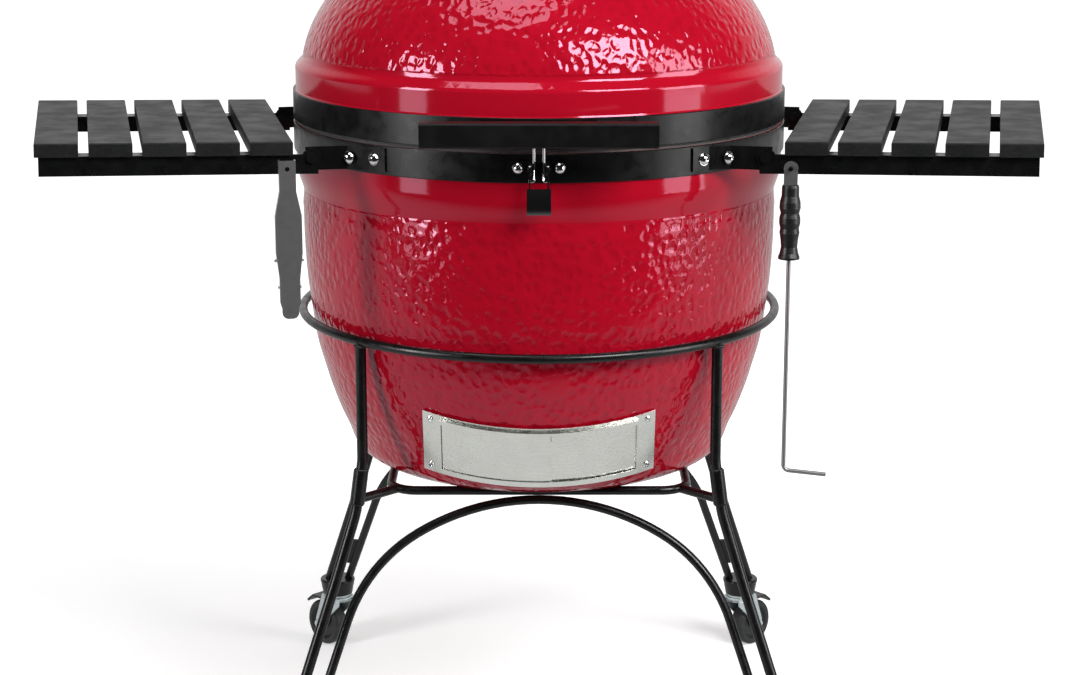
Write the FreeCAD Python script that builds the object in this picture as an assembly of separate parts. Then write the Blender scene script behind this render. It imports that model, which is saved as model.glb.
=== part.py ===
import FreeCAD, Part
import math
import os

V = FreeCAD.Vector
os.makedirs("parts", exist_ok=True)

# A ceramic egg-shaped grill on a rod stand with casters, built in millimetres.
# Frame: origin on the ground under the pot's axis, +Z up, -Y the front, +X the right-hand side.

# ---------------------------------------------------------------- driving dimensions
BAND_R = 350.0            # outer radius of both steel bands
BAND_T = 3.0
JOINT_Z = 941.0           # plane between the two gaskets
GASKET_T = 2.5
JOINT_GAP = 0.3           # gap between the closed gaskets
LOWER_BAND_Z = JOINT_Z - 41.0   # lower edge of the lower band
UPPER_BAND_Z = JOINT_Z + 43.0   # upper edge of the upper band
POT_WALL = 28.0

COLLAR_R = BAND_R - BAND_T - 1.0
DOME_A = COLLAR_R - 8.0   # horizontal half-axis of the domed part
DOME_B = 237.0            # vertical half-axis of the domed part
DOME_Z0 = JOINT_Z + 59.0
DOME_WALL = 26.0
COLLAR_TOP_Z = JOINT_Z + 74.0
SHOULDER_Z = JOINT_Z + 91.0

THICK_ROD = 15.0          # uprights and legs
THIN_ROD = 12.7           # ring, lower frame, arches
RING_R = BAND_R - 13.35 + THIN_ROD / 2
RING_Z = JOINT_Z - 276.0
UPRIGHT_XY = RING_R / math.sqrt(2.0)
SLEEVE_D = THICK_ROD + 5.6
SLEEVE_TOP = V(UPRIGHT_XY + 2.0, UPRIGHT_XY + 2.0, 483.0)
SLEEVE_BOTTOM = V(UPRIGHT_XY + 8.0, UPRIGHT_XY + 8.0, 437.0)

WHEEL_R = 38.0
WHEEL_W = 24.0
CASTER_TRAIL = WHEEL_R - 10.0
KINGPIN_R = 6.0
AXLE_R = 4.0
CASTER_XY = UPRIGHT_XY + 92.5
CUP_BOTTOM_Z = 2 * WHEEL_R + 20.0
CUP_TOP_Z = CUP_BOTTOM_Z + 26.0
CUP_TOP_R = 29.0
CUP_BOTTOM_R = 24.0
LEG_BEND = V(UPRIGHT_XY + 38.5, UPRIGHT_XY + 35.0, 330.0)
LEG_FOOT = V(UPRIGHT_XY + 106.5, UPRIGHT_XY + 94.5, CUP_TOP_Z - 4.0)

ARCH_FOOT_X = CASTER_XY - 16.0
ARCH_FOOT_Y = CASTER_XY
ARCH_FOOT_Z = CUP_TOP_Z - 7.0
ARCH_HEIGHT = 338.7       # along the leaning plane
ARCH_LEAN = 21.33         # degrees from upright
ARCH_CROWN_R = ARCH_FOOT_X + 9.0
ARCH_CROWN_HALF = 31.0    # degrees
ARCH_LEG_ANGLE = 72.4     # degrees from level
FRAME_CORNER_R = 38.0

DRAFT_TILT = 21.8         # the draft frame leans with the pot's wall
DRAFT_RISE = 65.5         # its middle above the pot's bottom
DRAFT_INSET = 55.5        # its middle inside the pot's rim
DRAFT_SINK = 1.952        # how much tighter the frame curves than the leaning wall behind it
DRAFT_HALF_W = 158.0
DRAFT_HALF_H = 50.0
DRAFT_OPEN_HALF_W = 122.0
DRAFT_OPEN_HALF_H = 33.0
SHEET_T = 1.2
PANEL_T = 1.0
SLIDE_GAP = 0.4

SHELF_TURN = 11.4         # each shelf points this far forward of sideways
SHELF_RISE = 1.2          # its outer end sits higher
SLAT_COUNT = 5
SLAT_W = 56.0
SLAT_GAP = 13.0
SLAT_LEN = 440.0
SLAT_T = 18.0
SLAT_START = BAND_R + 23.0   # distance of the first slat from the pot's axis
SLAT_TOP_Z = JOINT_Z + 3.5
RAIL_H = 26.0
RAIL_T = 3.0
RAIL_FLANGE = 30.0
RAIL_IN_FRONT = 8.0       # front rail behind the slat ends
RAIL_IN_REAR = 20.0
PIVOT_U = BAND_R - 2.0
PIVOT_Z = JOINT_Z - 19.0
SIDE_GAP = 0.3            # between plates that turn past each other
FIT = 0.05                # radial clearance of a pin in its hole

TOOL_W = -SLAT_LEN / 2 - 16.5   # plane the tools hang in, measured along the shelf's depth
PEG_U = BAND_R + 33.0
PEG_Z = JOINT_Z - 29.0
PEG_R = 3.0

HANDLE_LEN = 302.0
HANDLE_H = 32.0
HANDLE_D = 25.0
HANDLE_FRONT_Y = -BAND_R - 62.0
HANDLE_Z = JOINT_Z + 29.0
HANDLE_MOUNT_X = 95.0

LATCH_Z = JOINT_Z - 21.0
LATCH_PIN_Y = -BAND_R - 16.0
LATCH_LOOP_DROP = 9.0     # loop pivot below the lever pivot
LATCH_TOP_Z = JOINT_Z + 10.0

HINGE_Y = BAND_R + 42.0
HINGE_Z = JOINT_Z - 11.0
HINGE_PIN_R = 6.0
HINGE_BACK_Y = BAND_R + 59.0

VENT_HOLE_R = 60.0
VENT_SEAT_Z = DOME_Z0 + DOME_B + 9.0
VENT_CAP_R = VENT_HOLE_R + 22.0

LOWER_RIM_Z = JOINT_Z - JOINT_GAP / 2 - GASKET_T
UPPER_RIM_Z = JOINT_Z + JOINT_GAP / 2 + GASKET_T
RIM_R = BAND_R - BAND_T
RIM_IN_R = RIM_R - POT_WALL - 3.0
LEAN = math.radians(ARCH_LEAN)
ARCH_TOP_Y = ARCH_FOOT_Y - ARCH_HEIGHT * math.sin(LEAN)
ARCH_TOP_Z = ARCH_FOOT_Z + ARCH_HEIGHT * math.cos(LEAN)
FRAME_HALF = ARCH_TOP_Y - 3.8   # half-side of the rounded square under the pot
FRAME_Z = ARCH_TOP_Z + math.sqrt(THIN_ROD ** 2 - (ARCH_TOP_Y - FRAME_HALF) ** 2)
POT_BOTTOM_Z = FRAME_Z + THIN_ROD / 2
DRAFT_POINT = V(0, -(RIM_R - DRAFT_INSET), POT_BOTTOM_Z + DRAFT_RISE)
DRAFT_R = (RIM_R - DRAFT_INSET) / math.cos(math.radians(DRAFT_TILT)) - DRAFT_SINK


# ---------------------------------------------------------------- helpers
def save(name, shapes):
    """Write one node; a node may hold several separate solids."""
    items = shapes if isinstance(shapes, list) else [shapes]
    solids = []
    for item in items:
        solids.extend(item.Solids)
    shape = solids[0] if len(solids) == 1 else Part.makeCompound(solids)
    for solid in solids:
        if not solid.isValid():
            raise ValueError("not a valid solid: " + name)
    shape.exportStep("parts/" + name + ".step")
    return shape


def turned(profile):
    """Solid of revolution about Z from (radius, height) points."""
    points = [V(r, 0, z) for r, z in profile]
    wire = Part.makePolygon(points + [points[0]])
    return Part.Face(wire).revolve(V(0, 0, 0), V(0, 0, 1), 360)


def turned_edges(edges):
    face = Part.Face(Part.Wire(edges))
    return face.revolve(V(0, 0, 0), V(0, 0, 1), 360)


def curve(points):
    """Smooth edge through (radius, height) points."""
    spline = Part.BSplineCurve()
    spline.interpolate([V(r, 0, z) for r, z in points])
    return spline.toShape()


def line(a, b):
    return Part.makeLine(V(a[0], 0, a[1]), V(b[0], 0, b[1]))


def block(x0, x1, y0, y1, z0, z1):
    return Part.makeBox(x1 - x0, y1 - y0, z1 - z0, V(x0, y0, z0))


def cylinder(radius, start, end):
    axis = end - start
    return Part.makeCylinder(radius, axis.Length, start, axis)


def ring(r_out, r_in, z0, z1):
    outer = Part.makeCylinder(r_out, z1 - z0, V(0, 0, z0))
    return outer.cut(Part.makeCylinder(r_in, z1 - z0, V(0, 0, z0)))


def fused(shapes):
    result = shapes[0]
    if len(shapes) > 1:
        result = shapes[0].multiFuse(shapes[1:])
    return result.removeSplitter()


def bent_path(points, radii):
    """Wire of straight lines joined by tangent arcs at the inner points."""
    edges = []
    last = points[0]
    for i in range(1, len(points) - 1):
        corner = points[i]
        before = (points[i - 1] - corner).normalize()
        after = (points[i + 1] - corner).normalize()
        angle = before.getAngle(after)
        reach = radii[i - 1] / math.tan(angle / 2)
        start = corner + before * reach
        end = corner + after * reach
        middle = (before + after).normalize()
        centre = corner + middle * (radii[i - 1] / math.sin(angle / 2))
        edges.append(Part.makeLine(last, start))
        edges.append(Part.Arc(start, centre - middle * radii[i - 1], end).toShape())
        last = end
    edges.append(Part.makeLine(last, points[-1]))
    return Part.Wire(edges)


def swept(wire, radius):
    """Round rod along a wire."""
    first = wire.OrderedEdges[0]
    start = wire.OrderedVertexes[0].Point
    parameter = first.FirstParameter
    if (first.valueAt(parameter) - start).Length > 1e-6:
        parameter = first.LastParameter
    tangent = first.tangentAt(parameter)
    circle = Part.Wire(Part.makeCircle(radius, start, tangent))
    return wire.makePipeShell([circle], True, True)


def rod(points, radii, diameter):
    return swept(bent_path(points, radii), diameter / 2)


def plate(points, z0, z1):
    """Upright prism from (x, y) points."""
    outline = [V(x, y, z0) for x, y in points]
    face = Part.Face(Part.makePolygon(outline + [outline[0]]))
    return face.extrude(V(0, 0, z1 - z0))


def strip(points, thickness, z0, z1):
    """Upright bent strip that follows (x, y) points."""
    left = []
    right = []
    for i, p in enumerate(points):
        a = points[max(i - 1, 0)]
        b = points[min(i + 1, len(points) - 1)]
        if 0 < i < len(points) - 1:
            d1 = V(p[0] - a[0], p[1] - a[1], 0).normalize()
            d2 = V(b[0] - p[0], b[1] - p[1], 0).normalize()
            direction = (d1 + d2).normalize()
            stretch = 1.0 / math.cos(direction.getAngle(d1))
        else:
            direction = V(b[0] - a[0], b[1] - a[1], 0).normalize()
            stretch = 1.0
        side = V(-direction.y, direction.x, 0) * (thickness / 2 * stretch)
        left.append((p[0] + side.x, p[1] + side.y))
        right.append((p[0] - side.x, p[1] - side.y))
    return plate(left + right[::-1], z0, z1)


def mirrored(shape):
    return shape.mirror(V(0, 0, 0), V(1, 0, 0))


def four_corners(shape):
    """Copies of a right-rear piece at all four corners: rear right, rear left, front left, front right."""
    left = mirrored(shape)
    front_left = left.mirror(V(0, 0, 0), V(0, 1, 0))
    front_right = shape.mirror(V(0, 0, 0), V(0, 1, 0))
    return [shape, left, front_left, front_right]


def moved(shape, placement):
    copy = shape.copy()
    copy.transformShape(placement.toMatrix())
    return copy


def rounded(shape, radius, test):
    """Fillet the edges the test picks."""
    return shape.makeFillet(radius, [e for e in shape.Edges if test(e)])


def is_circle(edge, radius):
    return edge.Curve.TypeId == "Part::GeomCircle" and abs(edge.Curve.Radius - radius) < 0.05


def dome_height(radius, a, b):
    return DOME_Z0 + b * math.sqrt(max(0.0, 1.0 - (radius / a) ** 2))


# ---------------------------------------------------------------- ceramic pot
RIM = LOWER_RIM_Z
FLOOR_T = 26.0
WAIST_Z = POT_BOTTOM_Z + 168.0
WALL_TOP_Z = JOINT_Z - 126.0
NECK_Z = JOINT_Z - 99.0


def low_point(inset, rise):
    """Point of the pot's rounded lower part: inset from the rim, height above the bottom."""
    return (RIM_R - inset, POT_BOTTOM_Z + rise)


def wall_point(inset, share):
    """Point of the pot's upper wall, share of the way from the waist to the top of the wall."""
    return (RIM_R - inset, WAIST_Z + (WALL_TOP_Z - WAIST_Z) * share)


outer_low = curve([low_point(112.0, 0.0), low_point(93.0, 7.5), low_point(79.0, 19.0),
                   low_point(67.6, 45.0), low_point(56.5, 70.0), low_point(47.0, 95.0),
                   low_point(39.0, 119.0), low_point(32.0, 144.0), wall_point(25.3, 0.0),
                   wall_point(18.0, 0.24), wall_point(13.3, 0.42), wall_point(10.0, 0.62),
                   wall_point(8.6, 0.80), wall_point(8.2, 1.0)])
neck = curve([wall_point(8.2, 1.0), (RIM_R - 8.6, NECK_Z - 12.0), (RIM_R - 9.3, NECK_Z - 4.0),
              (RIM_R - 8.6, NECK_Z + 3.0), (RIM_R - 4.6, NECK_Z + 15.0), (RIM_R - 1.2, NECK_Z + 27.0),
              (RIM_R, JOINT_Z - 56.0)])
inner_wall = curve([(RIM_IN_R, LOWER_BAND_Z), (RIM_R - 36.0, JOINT_Z - 91.0), wall_point(37.5, 0.83),
                    wall_point(43.0, 0.37), low_point(60.0, 151.0), low_point(85.0, 81.0),
                    low_point(109.0, FLOOR_T + 10.0), low_point(132.0, FLOOR_T)])
outer_pot = turned_edges([line((0, POT_BOTTOM_Z), low_point(112.0, 0.0)), outer_low, neck,
                          line((RIM_R, JOINT_Z - 56.0), (RIM_R, RIM)), line((RIM_R, RIM), (0, RIM)),
                          line((0, RIM), (0, POT_BOTTOM_Z))])
pot_hollow = turned_edges([line((0, RIM + 5), (RIM_IN_R, RIM + 5)),
                           line((RIM_IN_R, RIM + 5), (RIM_IN_R, LOWER_BAND_Z)), inner_wall,
                           line(low_point(132.0, FLOOR_T), (0, POT_BOTTOM_Z + FLOOR_T)),
                           line((0, POT_BOTTOM_Z + FLOOR_T), (0, RIM + 5))])

# The draft frame's own axes: its cylinder axis is local Z, its face looks along local -Y.
tilt = FreeCAD.Rotation(V(1, 0, 0), DRAFT_TILT)
draft_outward = tilt.multVec(V(0, -1, 0))
DRAFT_CENTRE = DRAFT_POINT - draft_outward * DRAFT_R
draft_place = FreeCAD.Placement(DRAFT_CENTRE, tilt)


def draft_shell(r_in, r_out, x0, x1, t0, t1):
    """Curved sheet on the draft frame's cylinder, given by chord limits and height limits."""
    shell = ring(r_out, r_in, t0, t1)
    return shell.common(block(x0, x1, -r_out - 10, 0, t0 - 1, t1 + 1))


pad = draft_shell(DRAFT_R - 14, DRAFT_R, -DRAFT_HALF_W - 5, DRAFT_HALF_W + 5,
                  -DRAFT_HALF_H - 4, DRAFT_HALF_H + 4)
pad = rounded(pad, 3.0, lambda e: is_circle(e, DRAFT_R))
window = block(-DRAFT_OPEN_HALF_W, DRAFT_OPEN_HALF_W, -DRAFT_R - 20, -DRAFT_R + 110,
               -DRAFT_OPEN_HALF_H, DRAFT_OPEN_HALF_H)
pot = outer_pot.fuse(moved(pad, draft_place)).cut(pot_hollow).cut(moved(window, draft_place))
pot_base = max(pot.removeSplitter().Solids, key=lambda s: s.Volume)

# ---------------------------------------------------------------- draft frame and its two sliding panels
track = DRAFT_HALF_H - 6.0
lip_in = DRAFT_R + SHEET_T + 2 * PANEL_T + 3 * SLIDE_GAP
lip_out = lip_in + SHEET_T
end_x = 133.0
sheet = draft_shell(DRAFT_R, DRAFT_R + SHEET_T, -DRAFT_HALF_W, DRAFT_HALF_W, -DRAFT_HALF_H, DRAFT_HALF_H)
sheet = sheet.cut(block(-DRAFT_OPEN_HALF_W, DRAFT_OPEN_HALF_W, -DRAFT_R - 88, 0,
                        -DRAFT_OPEN_HALF_H, DRAFT_OPEN_HALF_H))
rails = [sheet]
for sign in (-1, 1):
    z_out = sign * (track + SHEET_T)
    z_in = sign * (track - 6.0)
    low, high = min(z_out, sign * track), max(z_out, sign * track)
    rails.append(draft_shell(DRAFT_R + SHEET_T / 2, lip_out, -end_x - SHEET_T, end_x + SHEET_T, low, high))
    low, high = min(z_out, z_in), max(z_out, z_in)
    rails.append(draft_shell(lip_in, lip_out, -end_x - SHEET_T, end_x + SHEET_T, low, high))
    x_out = sign * (end_x + SHEET_T)
    low, high = min(x_out, sign * end_x), max(x_out, sign * end_x)
    rails.append(draft_shell(DRAFT_R + SHEET_T / 2, lip_out, low, high, -track, track))
draft_frame = fused(rails)
screw_spots = []
for x in (-DRAFT_HALF_W + 11, DRAFT_HALF_W - 11):
    for t in (-DRAFT_HALF_H + 11, DRAFT_HALF_H - 11):
        angle = math.asin(x / DRAFT_R)
        screw_spots.append((angle, t))
screws = []
screw_holes = []
for angle, t in screw_spots:
    outward = V(math.sin(angle), -math.cos(angle), 0)
    base = V(0, 0, t) + outward * DRAFT_R
    shank = cylinder(2.5, base - outward * 9.0, base + outward * (SHEET_T + 1.0))
    head = cylinder(4.6, base + outward * SHEET_T, base + outward * (SHEET_T + 2.4))
    head = rounded(head, 1.8, lambda e: e.Length > 20 and e.CenterOfMass.sub(base).Length > 2.0)
    recess = cylinder(1.5, base + outward * (SHEET_T + 1.3), base + outward * (SHEET_T + 3.0))
    screws.append(moved(head.fuse(shank).cut(recess), draft_place))
    screw_holes.append(cylinder(2.5, base - outward * 9.0, base + outward * 6.0))
for hole in screw_holes:
    draft_frame = draft_frame.cut(hole)
draft_frame = save("draft_frame", moved(draft_frame, draft_place))
pot_base = pot_base.cut(Part.makeCompound([moved(h, draft_place) for h in screw_holes]))
pot_base = save("pot_base", pot_base)

panel_half = track - SLIDE_GAP
inner_r = DRAFT_R + SHEET_T + SLIDE_GAP
outer_r = inner_r + PANEL_T + SLIDE_GAP
inner_panel = draft_shell(inner_r, inner_r + PANEL_T, 4.0, end_x - 1.5, -panel_half, panel_half)
outer_panel = draft_shell(outer_r, outer_r + PANEL_T, -end_x + 1.5, 17.0, -panel_half, panel_half)
pull = block(16.0, 17.0, -outer_r - 8.0, -outer_r - 0.2, -track + 8.0, track - 8.0)
save("draft_panel", moved(inner_panel, draft_place))
save("draft_door", moved(fused([outer_panel, pull]), draft_place))

# ---------------------------------------------------------------- bands and gaskets
lower_band = ring(BAND_R, RIM_R, LOWER_BAND_Z, LOWER_RIM_Z)
upper_band = ring(BAND_R, RIM_R, UPPER_RIM_Z, UPPER_BAND_Z)
lower_band = rounded(lower_band, 0.9, lambda e: is_circle(e, BAND_R))
upper_band = rounded(upper_band, 0.9, lambda e: is_circle(e, BAND_R))
save("lower_gasket", ring(RIM_R - 2.0, RIM_IN_R + 2.0, LOWER_RIM_Z, LOWER_RIM_Z + GASKET_T))
save("dome_gasket", ring(RIM_R - 2.0, RIM_IN_R + 2.0, UPPER_RIM_Z - GASKET_T, UPPER_RIM_Z))

# ---------------------------------------------------------------- ceramic dome
DOME_STEPS = 16
r_start = DOME_A * math.sqrt(1.0 - ((SHOULDER_Z - DOME_Z0) / DOME_B) ** 2)
dome_points = []
inner_points = []
in_a = DOME_A - DOME_WALL
in_b = DOME_B - DOME_WALL
a0 = math.acos(r_start / DOME_A)
a1 = math.acos(VENT_HOLE_R / DOME_A)
b0 = 0.12
b1 = math.acos(VENT_HOLE_R / in_a)
for i in range(DOME_STEPS + 1):
    a = a0 + (a1 - a0) * i / DOME_STEPS
    b = b0 + (b1 - b0) * i / DOME_STEPS
    dome_points.append((DOME_A * math.cos(a), DOME_Z0 + DOME_B * math.sin(a)))
    inner_points.append((in_a * math.cos(b), DOME_Z0 + in_b * math.sin(b)))
shoulder = [(COLLAR_R, COLLAR_TOP_Z), (COLLAR_R - 2.6, COLLAR_TOP_Z + 6.0), (r_start + 2.2, SHOULDER_Z - 5.0),
            (r_start, SHOULDER_Z)]
dome_edges = [line((RIM_IN_R, UPPER_RIM_Z), (RIM_R, UPPER_RIM_Z)),
              line((RIM_R, UPPER_RIM_Z), (RIM_R, UPPER_BAND_Z)),
              line((RIM_R, UPPER_BAND_Z), (COLLAR_R, UPPER_BAND_Z + 2.0)),
              line((COLLAR_R, UPPER_BAND_Z + 2.0), (COLLAR_R, COLLAR_TOP_Z)),
              curve(shoulder), curve(dome_points),
              line(dome_points[-1], inner_points[-1]), curve(inner_points),
              line(inner_points[0], (RIM_IN_R, UPPER_RIM_Z))]
dome = turned_edges(dome_edges)

# Thermometer: a well through the upper front of the dome
gauge_r = 212.0
gauge_z = dome_height(gauge_r, DOME_A, DOME_B)
gauge_point = V(0, -gauge_r, gauge_z)
gauge_out = V(0, -gauge_r / DOME_A ** 2, (gauge_z - DOME_Z0) / DOME_B ** 2).normalize()
gauge_seat = gauge_point - gauge_out * 4.0
stem_r = 6.0
stem_hole = cylinder(stem_r, gauge_seat - gauge_out * 60, gauge_seat + gauge_out * 10)
gauge_pad = cylinder(41.0, gauge_seat - gauge_out * 4.0, gauge_seat + gauge_out * 6.0)
dome = dome.fuse(gauge_pad).cut(stem_hole)
dome_shell = save("dome_shell", dome.removeSplitter())

case_z0 = 6.0
case_body = cylinder(38.0, gauge_seat + gauge_out * case_z0, gauge_seat + gauge_out * (case_z0 + 16.0))
case_body = rounded(case_body, 2.5, lambda e: e.CenterOfMass.sub(gauge_seat).Length > case_z0 + 12.0
                    and e.Length > 200)
case_cup = cylinder(34.0, gauge_seat + gauge_out * (case_z0 + 5.0), gauge_seat + gauge_out * (case_z0 + 20.0))
probe = cylinder(stem_r - 0.5, gauge_seat - gauge_out * 55.0, gauge_seat + gauge_out * (case_z0 + 1.0))
save("thermometer_case", case_body.cut(case_cup).fuse(probe))
dial = cylinder(34.0, gauge_seat + gauge_out * (case_z0 + 5.0), gauge_seat + gauge_out * (case_z0 + 6.5))
side_axis = V(1, 0, 0)
up_axis = gauge_out.cross(side_axis)
hub = cylinder(3.0, gauge_seat + gauge_out * (case_z0 + 6.5), gauge_seat + gauge_out * (case_z0 + 9.5))
needle_dir = (side_axis * -0.72 - up_axis * 0.69).normalize()
tip = gauge_seat + gauge_out * (case_z0 + 8.4) + needle_dir * 27.0
tail = gauge_seat + gauge_out * (case_z0 + 8.4) - needle_dir * 8.0
save("thermometer_dial", fused([dial, hub, cylinder(0.8, tail, tip)]))
save("thermometer_lens", cylinder(34.0, gauge_seat + gauge_out * (case_z0 + 12.0),
                                  gauge_seat + gauge_out * (case_z0 + 14.5)))

# ---------------------------------------------------------------- stand
frame_path = []
h = FRAME_HALF
r = FRAME_CORNER_R
bend = r * (1 - math.cos(math.pi / 4))
for k in range(4):
    quarter = FreeCAD.Rotation(V(0, 0, 1), 90 * k)
    side_start = quarter.multVec(V(-h + r, -h, FRAME_Z))
    side_end = quarter.multVec(V(h - r, -h, FRAME_Z))
    bend_middle = quarter.multVec(V(h - bend, -h + bend, FRAME_Z))
    bend_end = quarter.multVec(V(h, -h + r, FRAME_Z))
    frame_path.append(Part.makeLine(side_start, side_end))
    frame_path.append(Part.Arc(side_end, bend_middle, bend_end).toShape())
frame_rod = swept(Part.Wire(frame_path), THIN_ROD / 2)
ring_rod = Part.makeTorus(RING_R, THIN_ROD / 2, V(0, 0, RING_Z), V(0, 0, 1))

sleeve_axis = (SLEEVE_TOP - SLEEVE_BOTTOM).normalize()
sleeve = cylinder(SLEEVE_D / 2, SLEEVE_BOTTOM, SLEEVE_TOP)
sleeve_mid = (SLEEVE_TOP + SLEEVE_BOTTOM) * 0.5
upright = rod([V(UPRIGHT_XY, UPRIGHT_XY, RING_Z), V(UPRIGHT_XY, UPRIGHT_XY, SLEEVE_TOP.z + 14.0),
               sleeve_mid], [60.0], THICK_ROD)
leg = rod([sleeve_mid, SLEEVE_BOTTOM + (SLEEVE_BOTTOM - SLEEVE_TOP) * 0.25, LEG_BEND, LEG_FOOT],
          [110.0, 500.0], THICK_ROD)
cup = Part.makeCone(CUP_BOTTOM_R, CUP_TOP_R, CUP_TOP_Z - CUP_BOTTOM_Z, V(CASTER_XY, CASTER_XY, CUP_BOTTOM_Z))
cup = rounded(cup, 2.5, lambda e: abs(e.CenterOfMass.z - CUP_TOP_Z) < 0.01)
upright = upright.cut(ring_rod)
upright = [s for s in upright.Solids if s.CenterOfMass.z < RING_Z][0]
upright_cut = upright.cut(leg)
leg = leg.cut(cup)
leg = max(leg.Solids, key=lambda s: s.Volume)
sleeve = sleeve.cut(upright).cut(leg)
upright = max(upright_cut.Solids, key=lambda s: s.Volume)

strut_start = V(h - bend, h - bend, FRAME_Z)
strut_end = sleeve_mid - sleeve_axis * (sleeve_mid.z - FRAME_Z) / sleeve_axis.z
strut = cylinder(THIN_ROD / 2, strut_start, strut_end)
strut = strut.cut(frame_rod).cut(cylinder(SLEEVE_D / 2, SLEEVE_BOTTOM - sleeve_axis * 5, SLEEVE_TOP)).cut(leg)
strut = max(strut.Solids, key=lambda s: s.Volume)

# Arches: crown, haunch and leg arcs drawn in the leaning plane
crown = math.radians(ARCH_CROWN_HALF)
leg_angle = math.radians(ARCH_LEG_ANGLE)
start_x = ARCH_CROWN_R * math.sin(crown)
start_s = ARCH_HEIGHT - ARCH_CROWN_R * (1 - math.cos(crown))
slope = 1.0 / math.tan(leg_angle)
rise_x = math.sin(leg_angle) - math.sin(crown)
rise_s = math.cos(crown) - math.cos(leg_angle)
ARCH_HAUNCH_R = (ARCH_FOOT_X - slope * start_s - start_x) / (rise_x - slope * rise_s)
end_x_arch = start_x + ARCH_HAUNCH_R * rise_x
end_s = start_s - ARCH_HAUNCH_R * rise_s


def arch_point(x, s):
    return V(x, -ARCH_FOOT_Y + s * math.sin(LEAN), ARCH_FOOT_Z + s * math.cos(LEAN))


mid_angle = (crown + leg_angle) / 2
haunch_x = start_x + ARCH_HAUNCH_R * (math.sin(mid_angle) - math.sin(crown))
haunch_s = start_s - ARCH_HAUNCH_R * (math.cos(crown) - math.cos(mid_angle))
arch_edges = []
arch_edges.append(Part.makeLine(arch_point(-ARCH_FOOT_X, 0), arch_point(-end_x_arch, end_s)))
arch_edges.append(Part.Arc(arch_point(-end_x_arch, end_s), arch_point(-haunch_x, haunch_s),
                           arch_point(-start_x, start_s)).toShape())
arch_edges.append(Part.Arc(arch_point(-start_x, start_s), arch_point(0, ARCH_HEIGHT),
                           arch_point(start_x, start_s)).toShape())
arch_edges.append(Part.Arc(arch_point(start_x, start_s), arch_point(haunch_x, haunch_s),
                           arch_point(end_x_arch, end_s)).toShape())
arch_edges.append(Part.makeLine(arch_point(end_x_arch, end_s), arch_point(ARCH_FOOT_X, 0)))
front_arch = swept(Part.Wire(arch_edges), THIN_ROD / 2)
cups = four_corners(cup)
for each in cups:
    front_arch = front_arch.cut(each)
legs = four_corners(leg)
for each in legs:
    front_arch = front_arch.cut(each)
front_arch = max(front_arch.Solids, key=lambda s: s.Volume)
rear_arch = front_arch.mirror(V(0, 0, 0), V(0, 1, 0))

# Gusset plate between each leg and arch, just above the caster cup
lean_dir = V(0, -math.sin(LEAN), math.cos(LEAN))


def leg_point(z):
    k = (LEG_BEND.z - z) / (LEG_BEND.z - LEG_FOOT.z)
    return LEG_BEND + (LEG_FOOT - LEG_BEND) * k


def rear_arch_point(z):
    s = (z - ARCH_FOOT_Z) / math.cos(LEAN)
    return V(ARCH_FOOT_X - slope * s, ARCH_FOOT_Y - s * math.sin(LEAN), z)


g1, g2 = leg_point(CUP_TOP_Z + 74.0), leg_point(CUP_TOP_Z + 30.0)
g3, g4 = rear_arch_point(CUP_TOP_Z + 30.0), rear_arch_point(CUP_TOP_Z + 74.0)
normal = (g1 - g3).cross(g2 - g4).normalize()
flat = []
for g in (g1, g2, g3, g4):
    flat.append(g - normal * normal.dot(g - g1))
gusset = Part.Face(Part.makePolygon(flat + [flat[0]])).extrude(normal * 4.0)
gusset.translate(normal * -2.0)
gusset = gusset.cut(leg).cut(rear_arch)
gusset = max(gusset.Solids, key=lambda s: s.Volume)

save("stand_ring", ring_rod)
save("stand_uprights", four_corners(upright))
save("stand_frame", [frame_rod] + four_corners(strut))
save("stand_sleeves", four_corners(sleeve))
save("stand_legs", legs + four_corners(gusset))
save("stand_arches", [front_arch, rear_arch])

# ---------------------------------------------------------------- casters
STEM_PLATE_T = 4.0
KING_BOTTOM_Z = CUP_BOTTOM_Z - 12.3
KING_TOP_Z = CUP_TOP_Z - 10.0
FORK_TOP_Z = CUP_BOTTOM_Z - STEM_PLATE_T - 0.4
FORK_PLATE_T = 3.0
FORK_IN = WHEEL_W / 2 + 3.0
FORK_T = 2.5
stem = fused([Part.makeCylinder(22.0, STEM_PLATE_T, V(0, 0, CUP_BOTTOM_Z - STEM_PLATE_T)),
              Part.makeCylinder(KINGPIN_R, KING_TOP_Z - KING_BOTTOM_Z, V(0, 0, KING_BOTTOM_Z)),
              Part.makeCylinder(9.5, 4.5, V(0, 0, KING_BOTTOM_Z))])
cup = cup.cut(Part.makeCylinder(KINGPIN_R, KING_TOP_Z - KING_BOTTOM_Z,
                                V(CASTER_XY, CASTER_XY, KING_BOTTOM_Z)))
save("stand_cups", four_corners(cup))

# A caster in its own axes: +X is the trail, Y the axle
raceway = Part.makeCylinder(24.0, FORK_PLATE_T, V(0, 0, FORK_TOP_Z - FORK_PLATE_T))
crown_ring = Part.makeCone(24.0, 20.0, 4.0, V(0, 0, FORK_TOP_Z - FORK_PLATE_T - 4.0))
crown_ring = crown_ring.cut(Part.makeCylinder(17.0, 4.0, V(0, 0, FORK_TOP_Z - FORK_PLATE_T - 4.0)))
side_points = [(-21.0, FORK_TOP_Z - 0.5), (21.0, FORK_TOP_Z - 0.5), (CASTER_TRAIL + 10.0, WHEEL_R + 6.0),
               (CASTER_TRAIL + 8.0, WHEEL_R - 8.0), (CASTER_TRAIL - 8.0, WHEEL_R - 8.0),
               (CASTER_TRAIL - 12.0, WHEEL_R + 6.0), (-21.0, FORK_TOP_Z - 12.0)]
outline = [V(x, FORK_IN, z) for x, z in side_points]
cheek = Part.Face(Part.makePolygon(outline + [outline[0]])).extrude(V(0, FORK_T, 0))
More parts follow.
